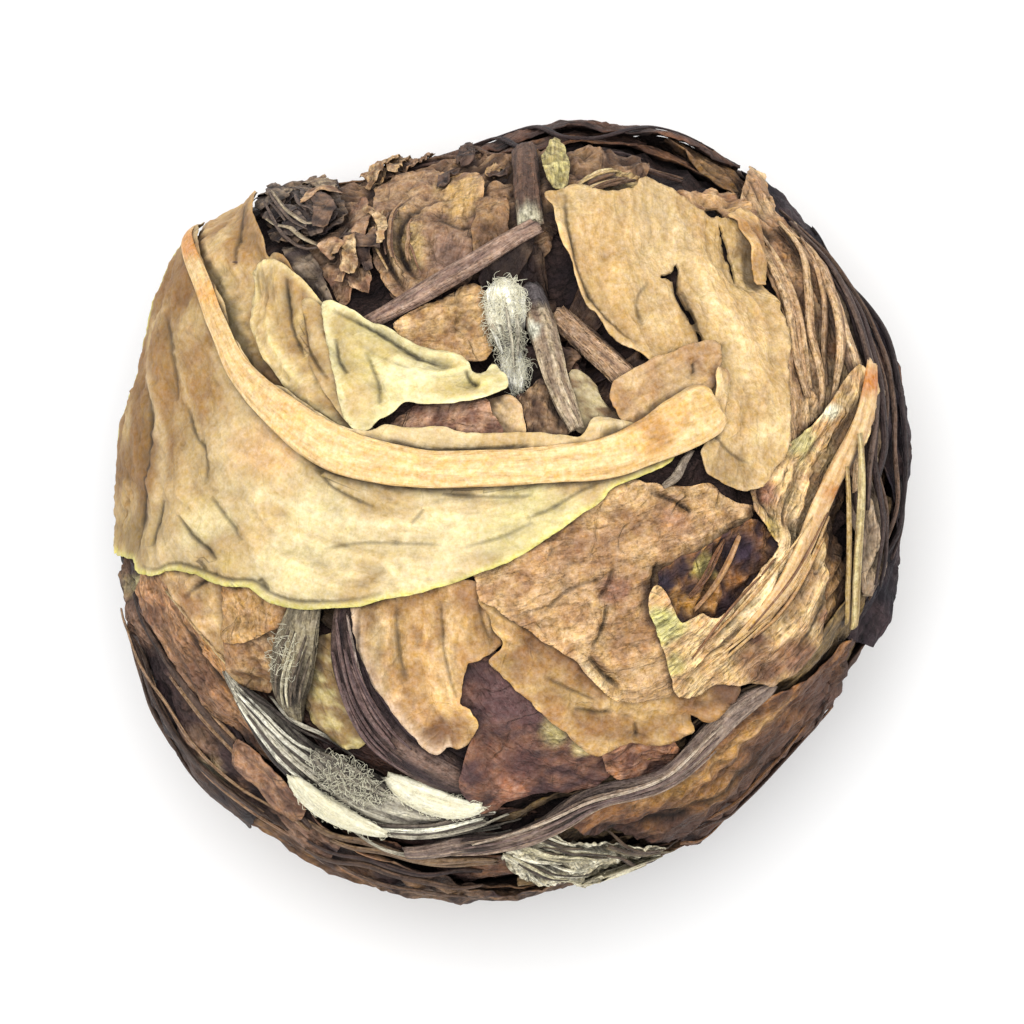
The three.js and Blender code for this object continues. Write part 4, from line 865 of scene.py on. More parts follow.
    {"name": "silverLowFibre", "kind": "strands", "count": 14, "half": (.06, .11), "seed": 32, "cut": .2,
     "look": "silverBud", "wander": .12, "sink": .35,
     "tones": (((252, 248, 226), (206, 198, 174)), ((206, 198, 174), (146, 136, 120)), ((116, 104, 92), (70, 62, 58))),
     "ribs": [(-5.6, -10, .2), (-4.4, -10.4, .4), (-3, -10.55, .5), (-1.2, -10.3, .5), (.6, -9.9, .35)]},
    {"name": "creamBud", "kind": "bud", "look": "paleStalk", "tones": ((246, 241, 214), (224, 216, 184)), "sink": .4,
     "ridges": 5, "ridgeDepth": .04, "around": 24, "flat": .5, "rough": .12,
     "ribs": [(-6.95, -8.4, .22, .2), (-6.75, -8.7, .45, .35), (-6.35, -9.15, .6, .5), (-5.7, -9.65, .62, .5), (-5, -10, .5, .35), (-4.4, -10.2, .35, .25), (-4, -10.3, .18, .15)]},
    {"name": "creamBudEast", "kind": "bud", "look": "paleStalk", "tones": ((250, 245, 220), (230, 222, 190)),
     "sink": .4, "ridges": 5, "ridgeDepth": .04, "around": 24, "flat": .5, "rough": .12,
     "ribs": [(-4.1, -8.75, .2, .2), (-3.8, -8.95, .42, .35), (-3.1, -9.3, .66, .5), (-2.2, -9.5, .62, .5), (-1.6, -9.5, .5, .4), (-1.2, -9.45, .35, .3), (-.95, -9.4, .2, .15)]},
    {"name": "silverNet", "kind": "bud", "look": "silverBud", "tones": ((150, 142, 126), (66, 58, 54)), "sink": .3,
     "ridges": 7, "ridgeDepth": .08, "around": 26, "flat": .4, "rough": .14,
     "ribs": [(-6.3, -7.7, .25, .25), (-5.7, -8.2, .6, .6), (-5, -8.7, .6, .6), (-4.2, -9.2, .35, .35)]},
    {"name": "silverBudTail", "kind": "stalk", "look": "fibrousStalk", "tones": ((176, 152, 132), (104, 86, 80)),
     "ridges": 8, "ridgeDepth": .08, "flat": .5, "sink": .35, "around": 22,
     "ribs": [(-3.4, -11, .3, .3), (-1.2, -10.85, .42, .45), (1.2, -10.1, .5, .55), (3, -9.2, .45, .4),
              (4.9, -8.5, .5, .45), (6.3, -7.4, .6, .6), (7.5, -6.3, .55, .55), (8.4, -5.6, .3, .3)]},
    {"name": "tailStrand", "kind": "strands", "count": 5, "half": (.06, .1), "sink": .45, "seed": 14,
     "tones": (((228, 208, 182), (164, 142, 122)), ((146, 122, 110), (92, 74, 72)), ((192, 166, 142), (126, 104, 92))),
     "ribs": [(-3, -11, .25), (-1.2, -10.7, .3), (1.2, -9.95, .35), (3, -9.2, .35), (4.9, -8.5, .35), (6.3, -7.4, .45),
              (7.5, -6.3, .35)]},
    {"name": "lowerBrownLeaf", "crumple": 0.1, "look": "tanLeaf", "tones": ((208, 168, 112), (170, 128, 84)), "step": .1, "patch": .9, "spots": [(7, -5.7, .8, (120, 88, 66)), (5.9, -6.3, .6, (150, 112, 76))],
     "ribs": [(-.6, -3.1, .4, .5), (1.5, -5, 1.4, 1.2), (3.7, -6.3, 1.7, 1.5), (6.1, -6.7, 1.4, 1),
              (7.6, -6.2, .4, .3)],
     "outline": [(-1, -2.8), (-.7, -3.6), (-.3, -4.3), (-.7, -4.7), (-.6, -5), (0, -5.6), (.6, -6.1), (1.1, -6.6),
                 (1.6, -7), (2.1, -7.4), (2.6, -7.8), (3.3, -7.6), (4, -7.5), (4.6, -7.5), (5.3, -7.3), (5.8, -7),
                 (5.9, -6.7), (6.3, -6.7), (6.8, -6.3), (7.4, -5.7), (7, -4.5), (4, -3), (1, -2.5)],
     # the first band is the painted shade of its fold
     "bands": [((134, 96, 66), .45, .75, [(-.1, -4.1), (1.2, -4.6), (2.4, -5.3), (3.2, -6)]),
               ((226, 188, 128), .3, .6, [(.6, -5.2), (2, -6), (3.6, -6.5), (5.4, -6.3)]),
               ((150, 108, 72), .2, .6, [(1.6, -6.4), (2.8, -7.1), (4.4, -7.1), (6, -6.4)])],
     "creases": [("groove", .1, .1, [(2, -6.4), (2.7, -6.6), (3.4, -6.6)]),
                 ("groove", .1, .09, [(4.05, -6.9), (4.1, -7.4)]),
                 ("ridge", .1, .1, [(-.2, -3.8), (.2, -4.4), (.6, -4.9)]),
                 ("groove", .08, .1, [(1, -5.4), (2, -5.9), (2.8, -6.2)]),
                 ("ridge", .1, .1, [(5.2, -6.1), (5.7, -6.3), (6.1, -6.6)])]},
    {"name": "upperBrownLeaf", "tones": ((216, 176, 126), (178, 136, 96)), "step": .1, "crumple": 0.1,
     "crumpleSize": 1.7, "patch": 1.1, "bridge": .5,
     # the first two bands are the painted highlight on the fold's crest and the painted shade beside it
     "bands": [((244, 214, 164), .12, .9, [(2.1, -4.5), (2.4, -5), (2.8, -5.45), (3.3, -5.7)]),
               ((134, 96, 70), .14, .8, [(2.4, -4.3), (2.8, -4.9), (3.3, -5.3)]),
               ((226, 186, 136), .12, .7, [(2.8, -3), (2.6, -3.6), (2.2, -4.2)]),
               ((150, 110, 82), .45, .7, [(.8, -2.4), (1.8, -1.4), (3.2, -.9), (4.6, -.6)]),
               ((226, 186, 132), .3, .7, [(.6, -3.4), (1.8, -4), (2.8, -5)]),
               ((146, 104, 78), .35, .6, [(3.6, -1.6), (4.6, -2.6), (5, -3.8)]),
               ((220, 176, 122), .3, .6, [(5.2, .3), (6.3, .1), (7.2, -.1)])],
     "spots": [(3.4, -2.6, .6, (164, 120, 94)), (2.9, -5.2, .8, (222, 180, 124)),
               (5.4, -.3, .8, (188, 142, 106)), (1.6, -2.4, 1.2, (218, 176, 128))],
     "ribs": [(-.7, -2.2, .6, .8), (1.8, -1.6, 1.7, 2.9), (4.1, -1.1, 2, 4.2), (6.6, -.2, 1.3, 2.6),
              (8, .3, .4, .6)],
     "outline": [(-1.2, -1.6), (-1.05, -2.8), (-.6, -3.1), (0, -3.5), (.5, -3.8), (1, -4.2), (1.6, -4.5),
                 (2.2, -5), (2.6, -5.4), (3.1, -5.9), (3.6, -6.15), (4.4, -6.1), (5.2, -6), (5.6, -5.4), (5.4, -4.6),
                 (5.6, -3.5), (5.4, -2.2), (5.7, -1.75), (6.3, -1.3), (7, -.9), (7.6, -.6), (8.1, -.1), (8, .15),
                 (7.6, .2), (7, .5), (6.6, .9), (6, .8), (5.3, .8), (4.6, .9), (3.6, 1), (2.4, .4), (0, -1)],
     "creases": [("ridge", .16, .1, [(2.95, -3.2), (2.7, -3.8), (2.3, -4.4)]),
                 ("groove", .12, .12, [(3.2, -3.1), (3, -3.8), (2.6, -4.5)]),
                 ("ridge", .24, .12, [(2.3, -4.9), (2.7, -5.5), (3.1, -5.85), (3.5, -6)]),
                 ("groove", .14, .12, [(2.5, -4.7), (3, -5.3), (3.5, -5.7)]),
                 ("ridge", .16, .1, [(4.6, .75), (5.3, .6), (6, .25), (6.2, .05)]),
                 ("groove", .14, .1, [(4.6, .6), (5.2, .4), (5.8, .1), (6, -.1)]),
                 ("groove", .1, .12, [(3.4, -1.9), (3.2, -2.5), (2.9, -3)]),
                 ("groove", .08, .1, [(1, -3.4), (2, -2.6), (3.3, -2.2)]),
                 ("ridge", .1, .1, [(5.2, -.6), (5.5, -.2), (5.9, -.1)]),
                 ("groove", .1, .1, [(4.9, -1.6), (4.7, -2.4), (4.9, -3.2)])]},
    {"name": "windowLeaf", "tones": ((156, 110, 68), (70, 50, 50)), "crumple": 0.22,
     "crumpleSize": .9, "patch": .45, "bridge": .8,
     # the near-black purple spots are painted shade deep in the hole
     "spots": [(6.3, -1.8, .5, (220, 202, 124)), (6.2, -2.9, .7, (196, 142, 78)), (7.5, -1.3, .7, (58, 44, 56)),
               (4.9, -2.3, .5, (46, 36, 46)), (5.6, -3, .5, (206, 152, 84)), (7.4, -2.3, .5, (176, 122, 76)), (7.1, -3, .4, (84, 58, 60)), (5.5, -1.9, .3, (60, 46, 52))],
     "ribs": [(4.6, -3.0, .7, .7), (6.4, -2.2, 1.3, 1.2), (8.3, -1.2, .7, .7)],
     "outline": [(4.7, -2), (5.6, -1.5), (6.3, -1.1), (7, -.7), (8, -.3), (8.7, -.9), (9, -1.4), (8.3, -2.6),
                 (7.6, -3.6), (6.5, -3.9), (5.4, -3.8), (4.8, -3)]},
    {"name": "windowTwig", "kind": "strands", "count": 2, "half": (.06, .09), "seed": 17, "wander": .3, "cut": .1,
     "tones": (((214, 170, 116), (140, 100, 70)), ((160, 112, 72), (92, 64, 52))),
     "ribs": [(5.5, -2.9, .1), (6.2, -2.1, .15), (6.7, -1.3, .15), (7, -.8, .1)]},
    {"name": "holeTwig", "kind": "stalk", "look": "fibrousStalk", "tones": ((186, 170, 148), (112, 96, 84)),
     "around": 8, "bridge": .8, "sink": .1,
     "ribs": [(5, .8, .1, .1), (5.4, 1.1, .16, .16), (5.7, 1.6, .14, .14), (6, 2, .1, .1)]},
    {"name": "windowStraw", "kind": "stalk", "look": "stalk", "tones": ((200, 154, 106), (120, 84, 62)),
     "ribs": [(5.9, -3.2, .07, .07), (6.5, -2.5, .1, .1), (7, -1.7, .11, .11), (7.4, -.8, .08, .08)], "around": 10,
     "bridge": .5},
    {"name": "ribbedLeaf", "look": "fibrousLeaf", "tones": ((242, 206, 148), (204, 162, 114)), "step": .1,
     "wrinkle": 0.09, "wrinkleSize": .45, "crumple": 0.08, "patch": .8,
     # the first band is a painted highlight along the leaf
     "bands": [((248, 218, 166), .55, .85, [(10.2, .6), (9.4, -.8), (8.4, -2.1), (7.2, -3.4), (6, -4.3)]),
               ((136, 98, 70), .24, .7, [(6.8, -5.1), (7.8, -4.6), (8.8, -4.3), (9.6, -4.2)]),
               ((146, 104, 74), .2, .6, [(10, -1.2), (9.4, -2.6), (8.4, -3.9)])],
     "spots": [(10.2, .2, .7, (232, 196, 142)), (7.9, -5, .7, (132, 98, 74)), (7.9, -4.1, .4, (110, 76, 58)), (9.2, -4.5, .6, (106, 74, 58)), (4.9, -3.6, .8, (222, 212, 140)), (5.2, -4.9, .5, (206, 188, 122)), (9.6, 2.2, .6, (212, 196, 136)), (8.5, .5, .5, (186, 136, 106)),
               (8.4, -.6, .4, (222, 190, 116)), (9, -4.7, .8, (150, 110, 82)), (10.2, -3.4, .6, (170, 126, 92)),
               (10.35, 3.2, .3, (236, 228, 196))],
     "ribs": [(11.3, 4.4, .4, .5), (11, 2.2, .6, 1.9), (10.1, 0, 1.2, 2.7), (8.8, -2.4, 2.9, 2.3),
              (7, -4.4, 2.6, 1.7), (5.3, -5.8, .5, .4)],
     "outline": [(10.9, 4.6), (10.5, 3.9), (10.2, 3.3), (9.7, 2.6), (9.2, 2.2), (8.9, 1.8), (8.4, 1.1), (8.1, .7),
                 (7.9, .1), (8.05, -.2), (8.25, -.6), (8.45, -.95), (8.6, -1.15), (8.2, -1.6), (7.8, -2), (7.4, -2.6), (7, -3.1), (6.4, -3.4), (6, -3.25), (5.4, -3.5), (5.1, -3.1), (4.9, -2.6),
                 (4.6, -2.4), (4.4, -3), (4.6, -3.8), (4.9, -4.6), (5.05, -5.3), (5.3, -5.9), (6, -6), (6.6, -5.6),
                 (7.6, -5.5), (8.1, -5.5), (8.4, -5.3), (8.9, -5.1), (9.4, -4.7), (9.8, -4.1), (9.95, -3.6),
                 (10.1, -2), (10.3, 0), (10.7, 1), (11.2, 2), (11.5, 3.1), (11.6, 4.2)],
     "creases": [("ridge", .12, .12, [(10.5, -.4), (10.1, -1.8), (9.2, -3.4), (7.9, -4.8)]),
                 ("groove", .16, .1, [(10.4, .2), (10, -1.2), (9.2, -2.6), (8.2, -3.8), (7, -4.7)]),
                 ("groove", .14, .1, [(10.6, .4), (10.4, -1.6), (9.8, -3.2), (8.9, -4.6)]),
                 ("groove", .1, .09, [(10.6, -1.6), (10.3, -3), (9.6, -4.2)]),
                 ("ridge", .1, .1, [(9.2, -1.4), (8.5, -2.5), (7.4, -3.6), (6.2, -4.6), (5.5, -5.3)]),
                 ("groove", .1, .1, [(9.8, 1.6), (9.3, .4), (8.9, -.6)]),
                 ("groove", .12, .1, [(8.4, .9), (8.3, .2), (8.7, -.4)]),
                 ("ridge", .16, .1, [(7.7, -5.3), (8.2, -5.35), (8.6, -5.5)])]},
    {"name": "ribbedLeafStalk", "kind": "stalk", "tones": ((244, 208, 154), (216, 172, 120)), "sink": .62,
     "ridges": 5, "ridgeDepth": .1, "look": "paleStalk", "flat": .42,
     "spots": [(11.3, 4, .6, (206, 134, 72)), (10.4, .6, .35, (206, 148, 92)), (7, -4, 1.6, (222, 180, 122))],
     "ribs": [(11.3, 4.6, .25, .25), (11.2, 3.6, .38, .38), (10.9, 2.2, .42, .42), (10.5, 1, .42, .42),
              (9.95, -.2, .42, .42), (9.25, -1.4, .4, .4), (8.5, -2.5, .32, .32), (7.7, -3.4, .2, .2),
              (7, -4.1, .08, .08)]},
    {"name": "ribbedStreak", "kind": "strands", "count": 7, "half": (.05, .09), "seed": 28, "sink": .7, "cut": .35,
     "look": "stalk",
     "tones": (((236, 200, 142), (184, 142, 98)), ((156, 114, 80), (104, 76, 58)), ((214, 170, 116), (156, 114, 78))),
     "ribs": [(10.3, .2, .5), (9.3, -1.3, .7), (8.2, -2.8, .9), (6.9, -4.2, .8), (5.9, -5.2, .5)]},
    {"name": "eastStraw", "kind": "stalk", "look": "stalk", "tones": ((226, 206, 150), (164, 134, 88)),
     "ridges": 3, "ridgeDepth": .05, "rough": .02, "bridge": 1.5, "flat": .7, "sink": .2, "around": 12, "snapped": .05,
     "ribs": [(10.9, 2.4, .13, .13), (11.05, .5, .19, .19), (11, -2, .21, .21), (10.9, -3.7, .21, .21)]},
    {"name": "eastThinStraw", "kind": "stalk", "look": "stalk", "tones": ((206, 176, 118), (140, 108, 72)),
     "ridges": 3, "ridgeDepth": .05, "rough": .02, "bridge": 1.5, "flat": .7, "sink": .2, "around": 10, "snapped": .05,
     "ribs": [(10.7, 1.4, .08, .08), (10.78, -.6, .12, .12), (10.74, -2.4, .12, .12), (10.7, -3.6, .1, .1)]},
]

# Scraps of leaf down in the knot
scraps = {"count": 22, "seed": 21, "reach": 3.6, "length": (1.8, 3.4), "half": (0.4, 0.9)}


def layScraps():
    random = np.random.default_rng(scraps["seed"])
    for number in range(scraps["count"]):
        around, away = random.uniform(0, 2 * math.pi), scraps["reach"] * math.sqrt(random.uniform())
        middle = np.array(pearl["knot"]) + away * np.array([math.cos(around), math.sin(around)])
        turn, length = random.uniform(0, math.pi), random.uniform(*scraps["length"])
        run = length / 2 * np.array([math.cos(turn), math.sin(turn)])
        bend = 0.25 * random.normal(size=2)
        half = random.uniform(*scraps["half"])
        light = random.uniform(0.55, 1.15)
        ribs = [(*(middle - run), half * .5, half * .5), (*(middle + bend), half, half),
                (*(middle + run), half * .4, half * .4)]
        tones = tuple(tuple(light * value for value in shown) for shown in ((158, 124, 96), (92, 68, 58)))
        layLeaf({"name": f"knotScrap{number + 1:02d}", "ribs": ribs, "tones": tones,
                 "crumple": .25, "crumpleSize": 1.0, "bridge": .3, "patch": .6})


outerPieces = [
    {"name": "brownSlip", "tones": ((176, 142, 108), (110, 84, 66)), "bridge": .8, "crumple": 0.2, "crumpleSize": .8,
     "patch": .5, "ribs": [(.9, 4.4), (.6, 2.6)],
     "outline": [(.2, 3.7), (.7, 4.2), (1.1, 4.3), (1.6, 3.2), (1.9, 2.5), (.7, 2.3), (.4, 3)]},
    {"name": "goldChip", "tones": ((216, 176, 124), (172, 132, 92)), "bridge": .8, "patch": .6,
     "ribs": [(-3.7, 5.6, .5, .6), (-2.2, 6.2, .7, .9), (-.7, 6.6, .5, .6)],
     "outline": [(-3.9, 6), (-3, 6.6), (-2, 7.1), (-1.1, 7.4), (-.8, 6.9), (-.7, 6.2), (-.8, 5.5), (-1.6, 5.3),
                 (-2.2, 5), (-3, 5.1), (-3.6, 5.5)]},
    {"name": "slantStalk", "kind": "stalk", "look": "fibrousStalk", "tones": ((206, 168, 132), (124, 98, 82)),
     "bridge": 1.2, "ridges": 6, "ridgeDepth": .14, "flat": .6,
     "ribs": [(1.6, 7.1, .42, .42), (2.9, 5.8, .47, .47), (4.3, 4.3, .47, .47)]},
    {"name": "stub", "look": "tanLeaf", "tones": ((196, 178, 136), (128, 102, 76)), "bridge": 1.0, "crumple": 0.12,
     "patch": .6, "ribs": [(1.5, 4.4, .4, .4), (2.8, 3.3, .55, .6), (4.1, 2.3, .35, .4)],
     "outline": [(1.9, 4.5), (2.6, 4.4), (3.1, 3.6), (3.6, 3.1), (3.9, 2.6), (3.2, 2.5), (2.2, 2.5), (1.9, 3.4)]},
    {"name": "northStalk", "kind": "stalk", "look": "fibrousStalk", "tones": ((126, 94, 74), (78, 58, 50)),
     "bridge": 1.0, "ridges": 6, "ridgeDepth": .14, "flat": .6, "spots": [(.5, 9.3, .6, (196, 188, 160))],
     "ribs": [(.4, 11.8, .38, .38), (.5, 10.4, .4, .4), (.6, 9.2, .4, .38)]},
    {"name": "crossStalk", "kind": "stalk", "look": "fibrousStalk", "tones": ((182, 150, 128), (122, 96, 86)),
     "bridge": 1.2, "ridges": 5, "ridgeDepth": .1, "flat": .55,
     "ribs": [(-4.7, 6.2, .3, .3), (-3.2, 6.85, .38, .36), (-1.2, 7.8, .42, .4), (.8, 8.9, .4, .35)]},
    {"name": "greyStalk", "kind": "stalk", "look": "fibrousStalk", "tones": ((214, 192, 158), (132, 108, 90)),
     "bridge": 1.2, "ridges": 5, "ridgeDepth": .12, "flat": .65, "around": 22,
     "spots": [(.85, 7.5, .9, (104, 96, 96)), (.7, 6.0, .4, (226, 222, 200))],
     "ribs": [(.65, 7.9, .4, .4), (.85, 6.9, .48, .46), (1.1, 5.8, .46, .44), (1.4, 4.4, .4, .38),
              (1.75, 3.4, .35, .33), (2.1, 2.6, .25, .25)]},
    {"name": "whiteBud", "kind": "bud", "look": "silverBud", "tones": ((255, 253, 240), (234, 228, 204)),
     "bridge": 1.0, "rough": .2, "ridges": 5, "ridgeDepth": .08, "flat": .65, "around": 26,
     "spots": [(.2, 5.9, .3, (150, 132, 112)), (-.7, 6.1, .3, (180, 166, 144))],
     "ribs": [(-.35, 7.65, .3, .3), (-.25, 7.2, .68, .68), (-.2, 6.5, .7, .62), (-.08, 5.8, .45, .4), (.08, 5.15, .45, .42),
              (.15, 4.6, .38, .32), (.2, 4.25, .2, .2)]},
    {"name": "whiteFibre", "kind": "strands", "count": 4, "half": (.05, .09), "sink": .5, "seed": 18, "cut": .4,
     "look": "silverBud",
     "tones": (((255, 253, 240), (228, 224, 202)), ((204, 196, 172), (142, 132, 118))),
     "ribs": [(-.5, 7.3, .3), (-.3, 6.4, .5), (-.05, 5.4, .3), (.1, 4.4, .2)]},
    {"name": "palePatch", "look": "tanLeaf", "tones": ((232, 200, 152), (198, 160, 118)), "bridge": .8,
     "ribs": [(-.6, 3.6), (.3, 2.5)],
     "outline": [(-1, 3.6), (-.2, 3.8), (.25, 3.5), (.4, 2.9), (.4, 2.3), (-.4, 2.3), (-.8, 2.8)]},
    {"name": "innerStrip", "tones": ((190, 148, 118), (128, 92, 76)), "bridge": .8, "crumple": 0.12,
     "crumpleSize": 1.0, "patch": .5, "ribs": [(-4, 2.7, .4, .7), (-.7, 3.1, .5, .8), (3.9, 2.7, .4, .6)],
     "outline": [(-4.2, 2.6), (-3.5, 3.2), (-3, 3.5), (-2, 3.6), (-.9, 3.6), (-.6, 3.1), (-.3, 2.3), (-2, 2.2),
                 (-3.6, 2.3)]},
    {"name": "greenTip", "look": "fibrousLeaf", "crumple": .16, "crumpleSize": .8, "wrinkle": .1, "patch": .4, "tones": ((210, 196, 134), (164, 146, 98)),
     "ribs": [(1.4, 12.2, .3, .3), (1.5, 10.6, .3, .3), (1.5, 9.8, .15, .15)],
     "outline": [(1, 11.2), (1.3, 11.9), (1.6, 12), (1.85, 11.2), (1.8, 10.4), (1.3, 10.3), (1.05, 10.7)]},
    {"name": "fibrousTipLeaf", "look": "fibrousLeaf", "tones": ((214, 184, 126), (138, 108, 74)), "step": .1,
     "rise": .2, "wrinkle": .12, "wrinkleSize": .25, "patch": .4,
     "ribs": [(1.8, 9.9), (2.8, 10.5), (4.1, 10.8)],
     "outline": [(1.7, 9.9), (2.1, 10.3), (2.6, 10.75), (3.2, 11), (3.8, 11.05), (4.2, 10.8), (4, 10.3), (3.4, 10),
                 (2.6, 9.8)]},
    {"name": "fibrousTip", "kind": "strands", "count": 10, "half": (.07, .12), "seed": 16, "cut": .25, "sink": .3,
     "tones": (((232, 204, 146), (166, 134, 92)), ((244, 222, 168), (188, 156, 110)), ((128, 98, 72), (80, 60, 50))),
     "ribs": [(1.9, 9.9, .3), (2.6, 10.4, .5), (3.3, 10.65, .5), (4.1, 10.75, .3)]},
    {"name": "tanTop", "tones": ((206, 164, 118), (148, 110, 80)), "crumple": 0.12, "crumpleSize": 1.0,
     "patch": .5, "curl": .16, "rise": .2,
     "ribs": [(4.6, 10.2), (6.3, 10.2), (7.9, 9.6)],
     "outline": [(4.1, 10.3), (5, 10.5), (5.9, 10.6), (6.7, 10.75), (7.2, 10.6), (7.7, 10.1), (8.1, 9.4), (7.9, 9),
                 (7.5, 9.3), (6.6, 9.6), (5.6, 9.8), (4.6, 9.9)],
     "tears": [[(6.4, 10), (6.75, 10.15), (7.1, 10), (7.2, 9.8), (6.8, 9.75)]],
     # painted highlight along the ridge and painted shade along the groove
     "bands": [((214, 172, 122), .16, .8, [(5.8, 10.3), (6.7, 10.45), (7.3, 10.2), (7.8, 9.5)]),
               ((110, 78, 60), .2, .7, [(5.4, 10), (6.4, 9.9), (7.3, 9.6)])],
     "creases": [("ridge", .14, .1, [(5.4, 10.35), (6.6, 10.5), (7.3, 10.2)]),
                 ("groove", .12, .1, [(5, 10.1), (6.2, 10), (7.2, 9.7)])]},
    {"name": "tanLeaf", "look": "tanLeaf", "tones": ((222, 190, 138), (202, 166, 114)), "step": .1,
     "bridge": .6, "wrinkle": .04, "crumple": .09, "crumpleSize": 2.6, "curl": .1, "patch": 1.6, "ragged": .07,
     "spots": [(3, 8.6, 1.1, (210, 174, 122)), (8.6, 2.6, 1, (228, 198, 144)), (7.1, 1.2, .9, (184, 152, 106)),
                (6.8, 9.2, .7, (206, 170, 112)), (3.4, 9.9, .7, (206, 172, 120))],
     "ribs": [(5.6, 10.9, 1.7, 4.3), (6.2, 8.3, 2.3, 4.1), (7.3, 5.4, 1.9, 3.1), (7.8, 2.9, 1.5, 1.7),
              (7.4, .8, .6, .9)],
     "outline": [(1.05, 9.85), (1.3, 9.5), (1.35, 9.1), (1.45, 8.8), (1.7, 8.4), (2, 8), (2.3, 7.3), (2.8, 6.7),
                 (3.3, 6), (4.2, 5.3), (4.7, 4.9), (5.4, 4.4), (6.2, 4.2), (6.6, 3.6), (6.6, 2.8), (6.3, 2.2),
                 (6.2, 1.8), (6.3, 1.3), (6.6, 1), (7, .8), (7.6, .6), (8.1, .8), (8.5, 1.2), (8.9, 1.7), (9.05, 2.2),
                 (9.1, 3), (9.15, 4.5), (9.1, 5.6), (8.95, 6.3), (8.7, 7), (8.4, 7.7), (8.15, 8.3), (7.9, 8.9),
                 (7.6, 9.3), (7.2, 9.45), (6.8, 9.5), (6.3, 9.65), (5.9, 9.9), (5.2, 10.15), (4.8, 10.35), (4.3, 10.5),
                 (3.8, 10.1), (3.3, 9.95), (2.6, 10), (2, 10.15), (1.5, 10)],
     "tears": [[(4.7, 7.76), (5.2, 7.86), (5.38, 7.93), (5.5, 8.35), (5.6, 7.95), (5.58, 7.6), (5.6, 7.3),
                (5.78, 6.85), (5.98, 6.45), (6.24, 6), (6.38, 5.75), (6.44, 5.35), (6.34, 5.35), (6.24, 5.75),
                (6.1, 6.02), (5.86, 6.43), (5.65, 6.83), (5.46, 7.3), (5.38, 7.6), (5.1, 7.72)],
               [(6.7, 9.5), (7.15, 8.95), (7.5, 8.4), (7.8, 7.7), (7.7, 7.66), (7.4, 8.3), (7.05, 8.85)]],
     # the first band is painted shade along the crack, the second a painted highlight along the long ridge
     "bands": [((88, 62, 42), .12, .9, [(5.1, 7.78), (5.48, 7.85), (5.55, 7.4), (5.72, 6.84), (5.92, 6.44), (6.18, 6.01),
                                            (6.36, 5.55)]),
               ((236, 208, 156), .5, .4, [(4.4, 9.9), (5.3, 9), (6.2, 7.8), (7.1, 6.3), (7.9, 4.6), (8.3, 3)]),
               ((206, 172, 118), .45, .5, [(6.4, 9.2), (7.3, 7.8), (8.1, 6.2), (8.6, 4.4)]),
               ((202, 164, 110), .7, .6, [(1.9, 9.6), (2.6, 8), (3.6, 6.8), (4.8, 5.6)]),
               ((204, 170, 116), .35, .5, [(5.9, 7.2), (6.6, 6), (7, 4.8), (7, 3.6)])],
     "creases": [("fold", .12, .5, [(5.7, 7.4), (6.0, 6.4), (6.45, 5.35), (6.7, 4.6)]),
                 ("ridge", .2, .45, [(5.2, 9.4), (6.2, 8.2), (7.3, 6.4), (8.1, 4.6), (8.7, 2.4)]),
                 ("ridge", .12, .12, [(8.0, 9.1), (8.35, 8.5), (8.6, 7.9)]),
                 ("groove", .14, .1, [(1.7, 10), (1.75, 9.2), (1.95, 8.6), (2.15, 8), (2.8, 7), (3.4, 6.3), (4.3, 5.6)]),
                 ("ridge", .1, .12, [(1.5, 9.6), (1.6, 9), (1.85, 8.4), (2.4, 7.3), (3, 6.6), (4.2, 5.45)]),
                 ("ridge", .14, .1, [(6.9, 5.6), (6.85, 5), (6.8, 4.4)]),
                 ("groove", .12, .1, [(7.05, 5.6), (7, 5), (6.95, 4.4)]),
                 ("groove", .06, .2, [(4.6, 7.6), (4.2, 7.0), (4.5, 6.2)]),
                 ("groove", .08, .12, [(6.5, 3), (7, 2.1), (7.9, 1.5)])]},
    {"name": "tanCurl", "look": "tanLeaf", "tones": ((216, 178, 122), (176, 134, 88)), "rise": .03, "curl": .06,
     "ribs": [(7.2, 9.5), (7.8, 8.6), (8.1, 7.7)],
     "bands": [((140, 100, 68), .16, .7, [(7.7, 9.4), (8.1, 8.6), (8.3, 7.8)])],
     "outline": [(7, 9.6), (7.45, 9.05), (7.75, 8.5), (7.95, 7.95), (8.1, 7.3), (8.45, 7.3), (8.4, 8.1),
                 (8.15, 8.9), (7.8, 9.5), (7.35, 9.75)],
     "creases": [("ridge", .1, .1, [(7.5, 9.3), (7.9, 8.6), (8.1, 7.9)])]},
    {"name": "tanFlap", "tones": ((214, 178, 130), (184, 144, 102)), "look": "tanLeaf", "bridge": .8,
     "ribs": [(3.2, 3.5, .4, .5), (4.6, 4.2, .8, .8), (6.1, 5.1, .8, .8), (6.9, 5.9, .3, .4)],
     "outline": [(3.25, 3.6), (3.3, 4.2), (3.8, 4.5), (4.5, 4.9), (5.2, 5.15), (6, 5.4), (6.4, 5.5), (6.75, 5.4),
                 (6.8, 4.8), (6.6, 4), (5.9, 3.6), (5.2, 3), (4.5, 2.6), (3.9, 2.6), (3.5, 3)],
     "creases": [("groove", .12, .1, [(5.9, 4.9), (6, 4.4)])]},
    {"name": "sideTab", "tones": ((226, 194, 142), (184, 142, 98)), "look": "tanLeaf",
     "ribs": [(6.7, 4.6), (6.75, 3.0)],
     "outline": [(6.5, 4.5), (6.9, 4.5), (7.05, 4), (6.95, 3.2), (6.8, 2.6), (6.5, 2.8), (6.55, 3.6)]},
    {"name": "paleOuterFold", "ragged": 0.04, "crumple": 0.08, "look": "paleLeaf", "tones": ((210, 178, 126), (178, 140, 92)), "step": .1,
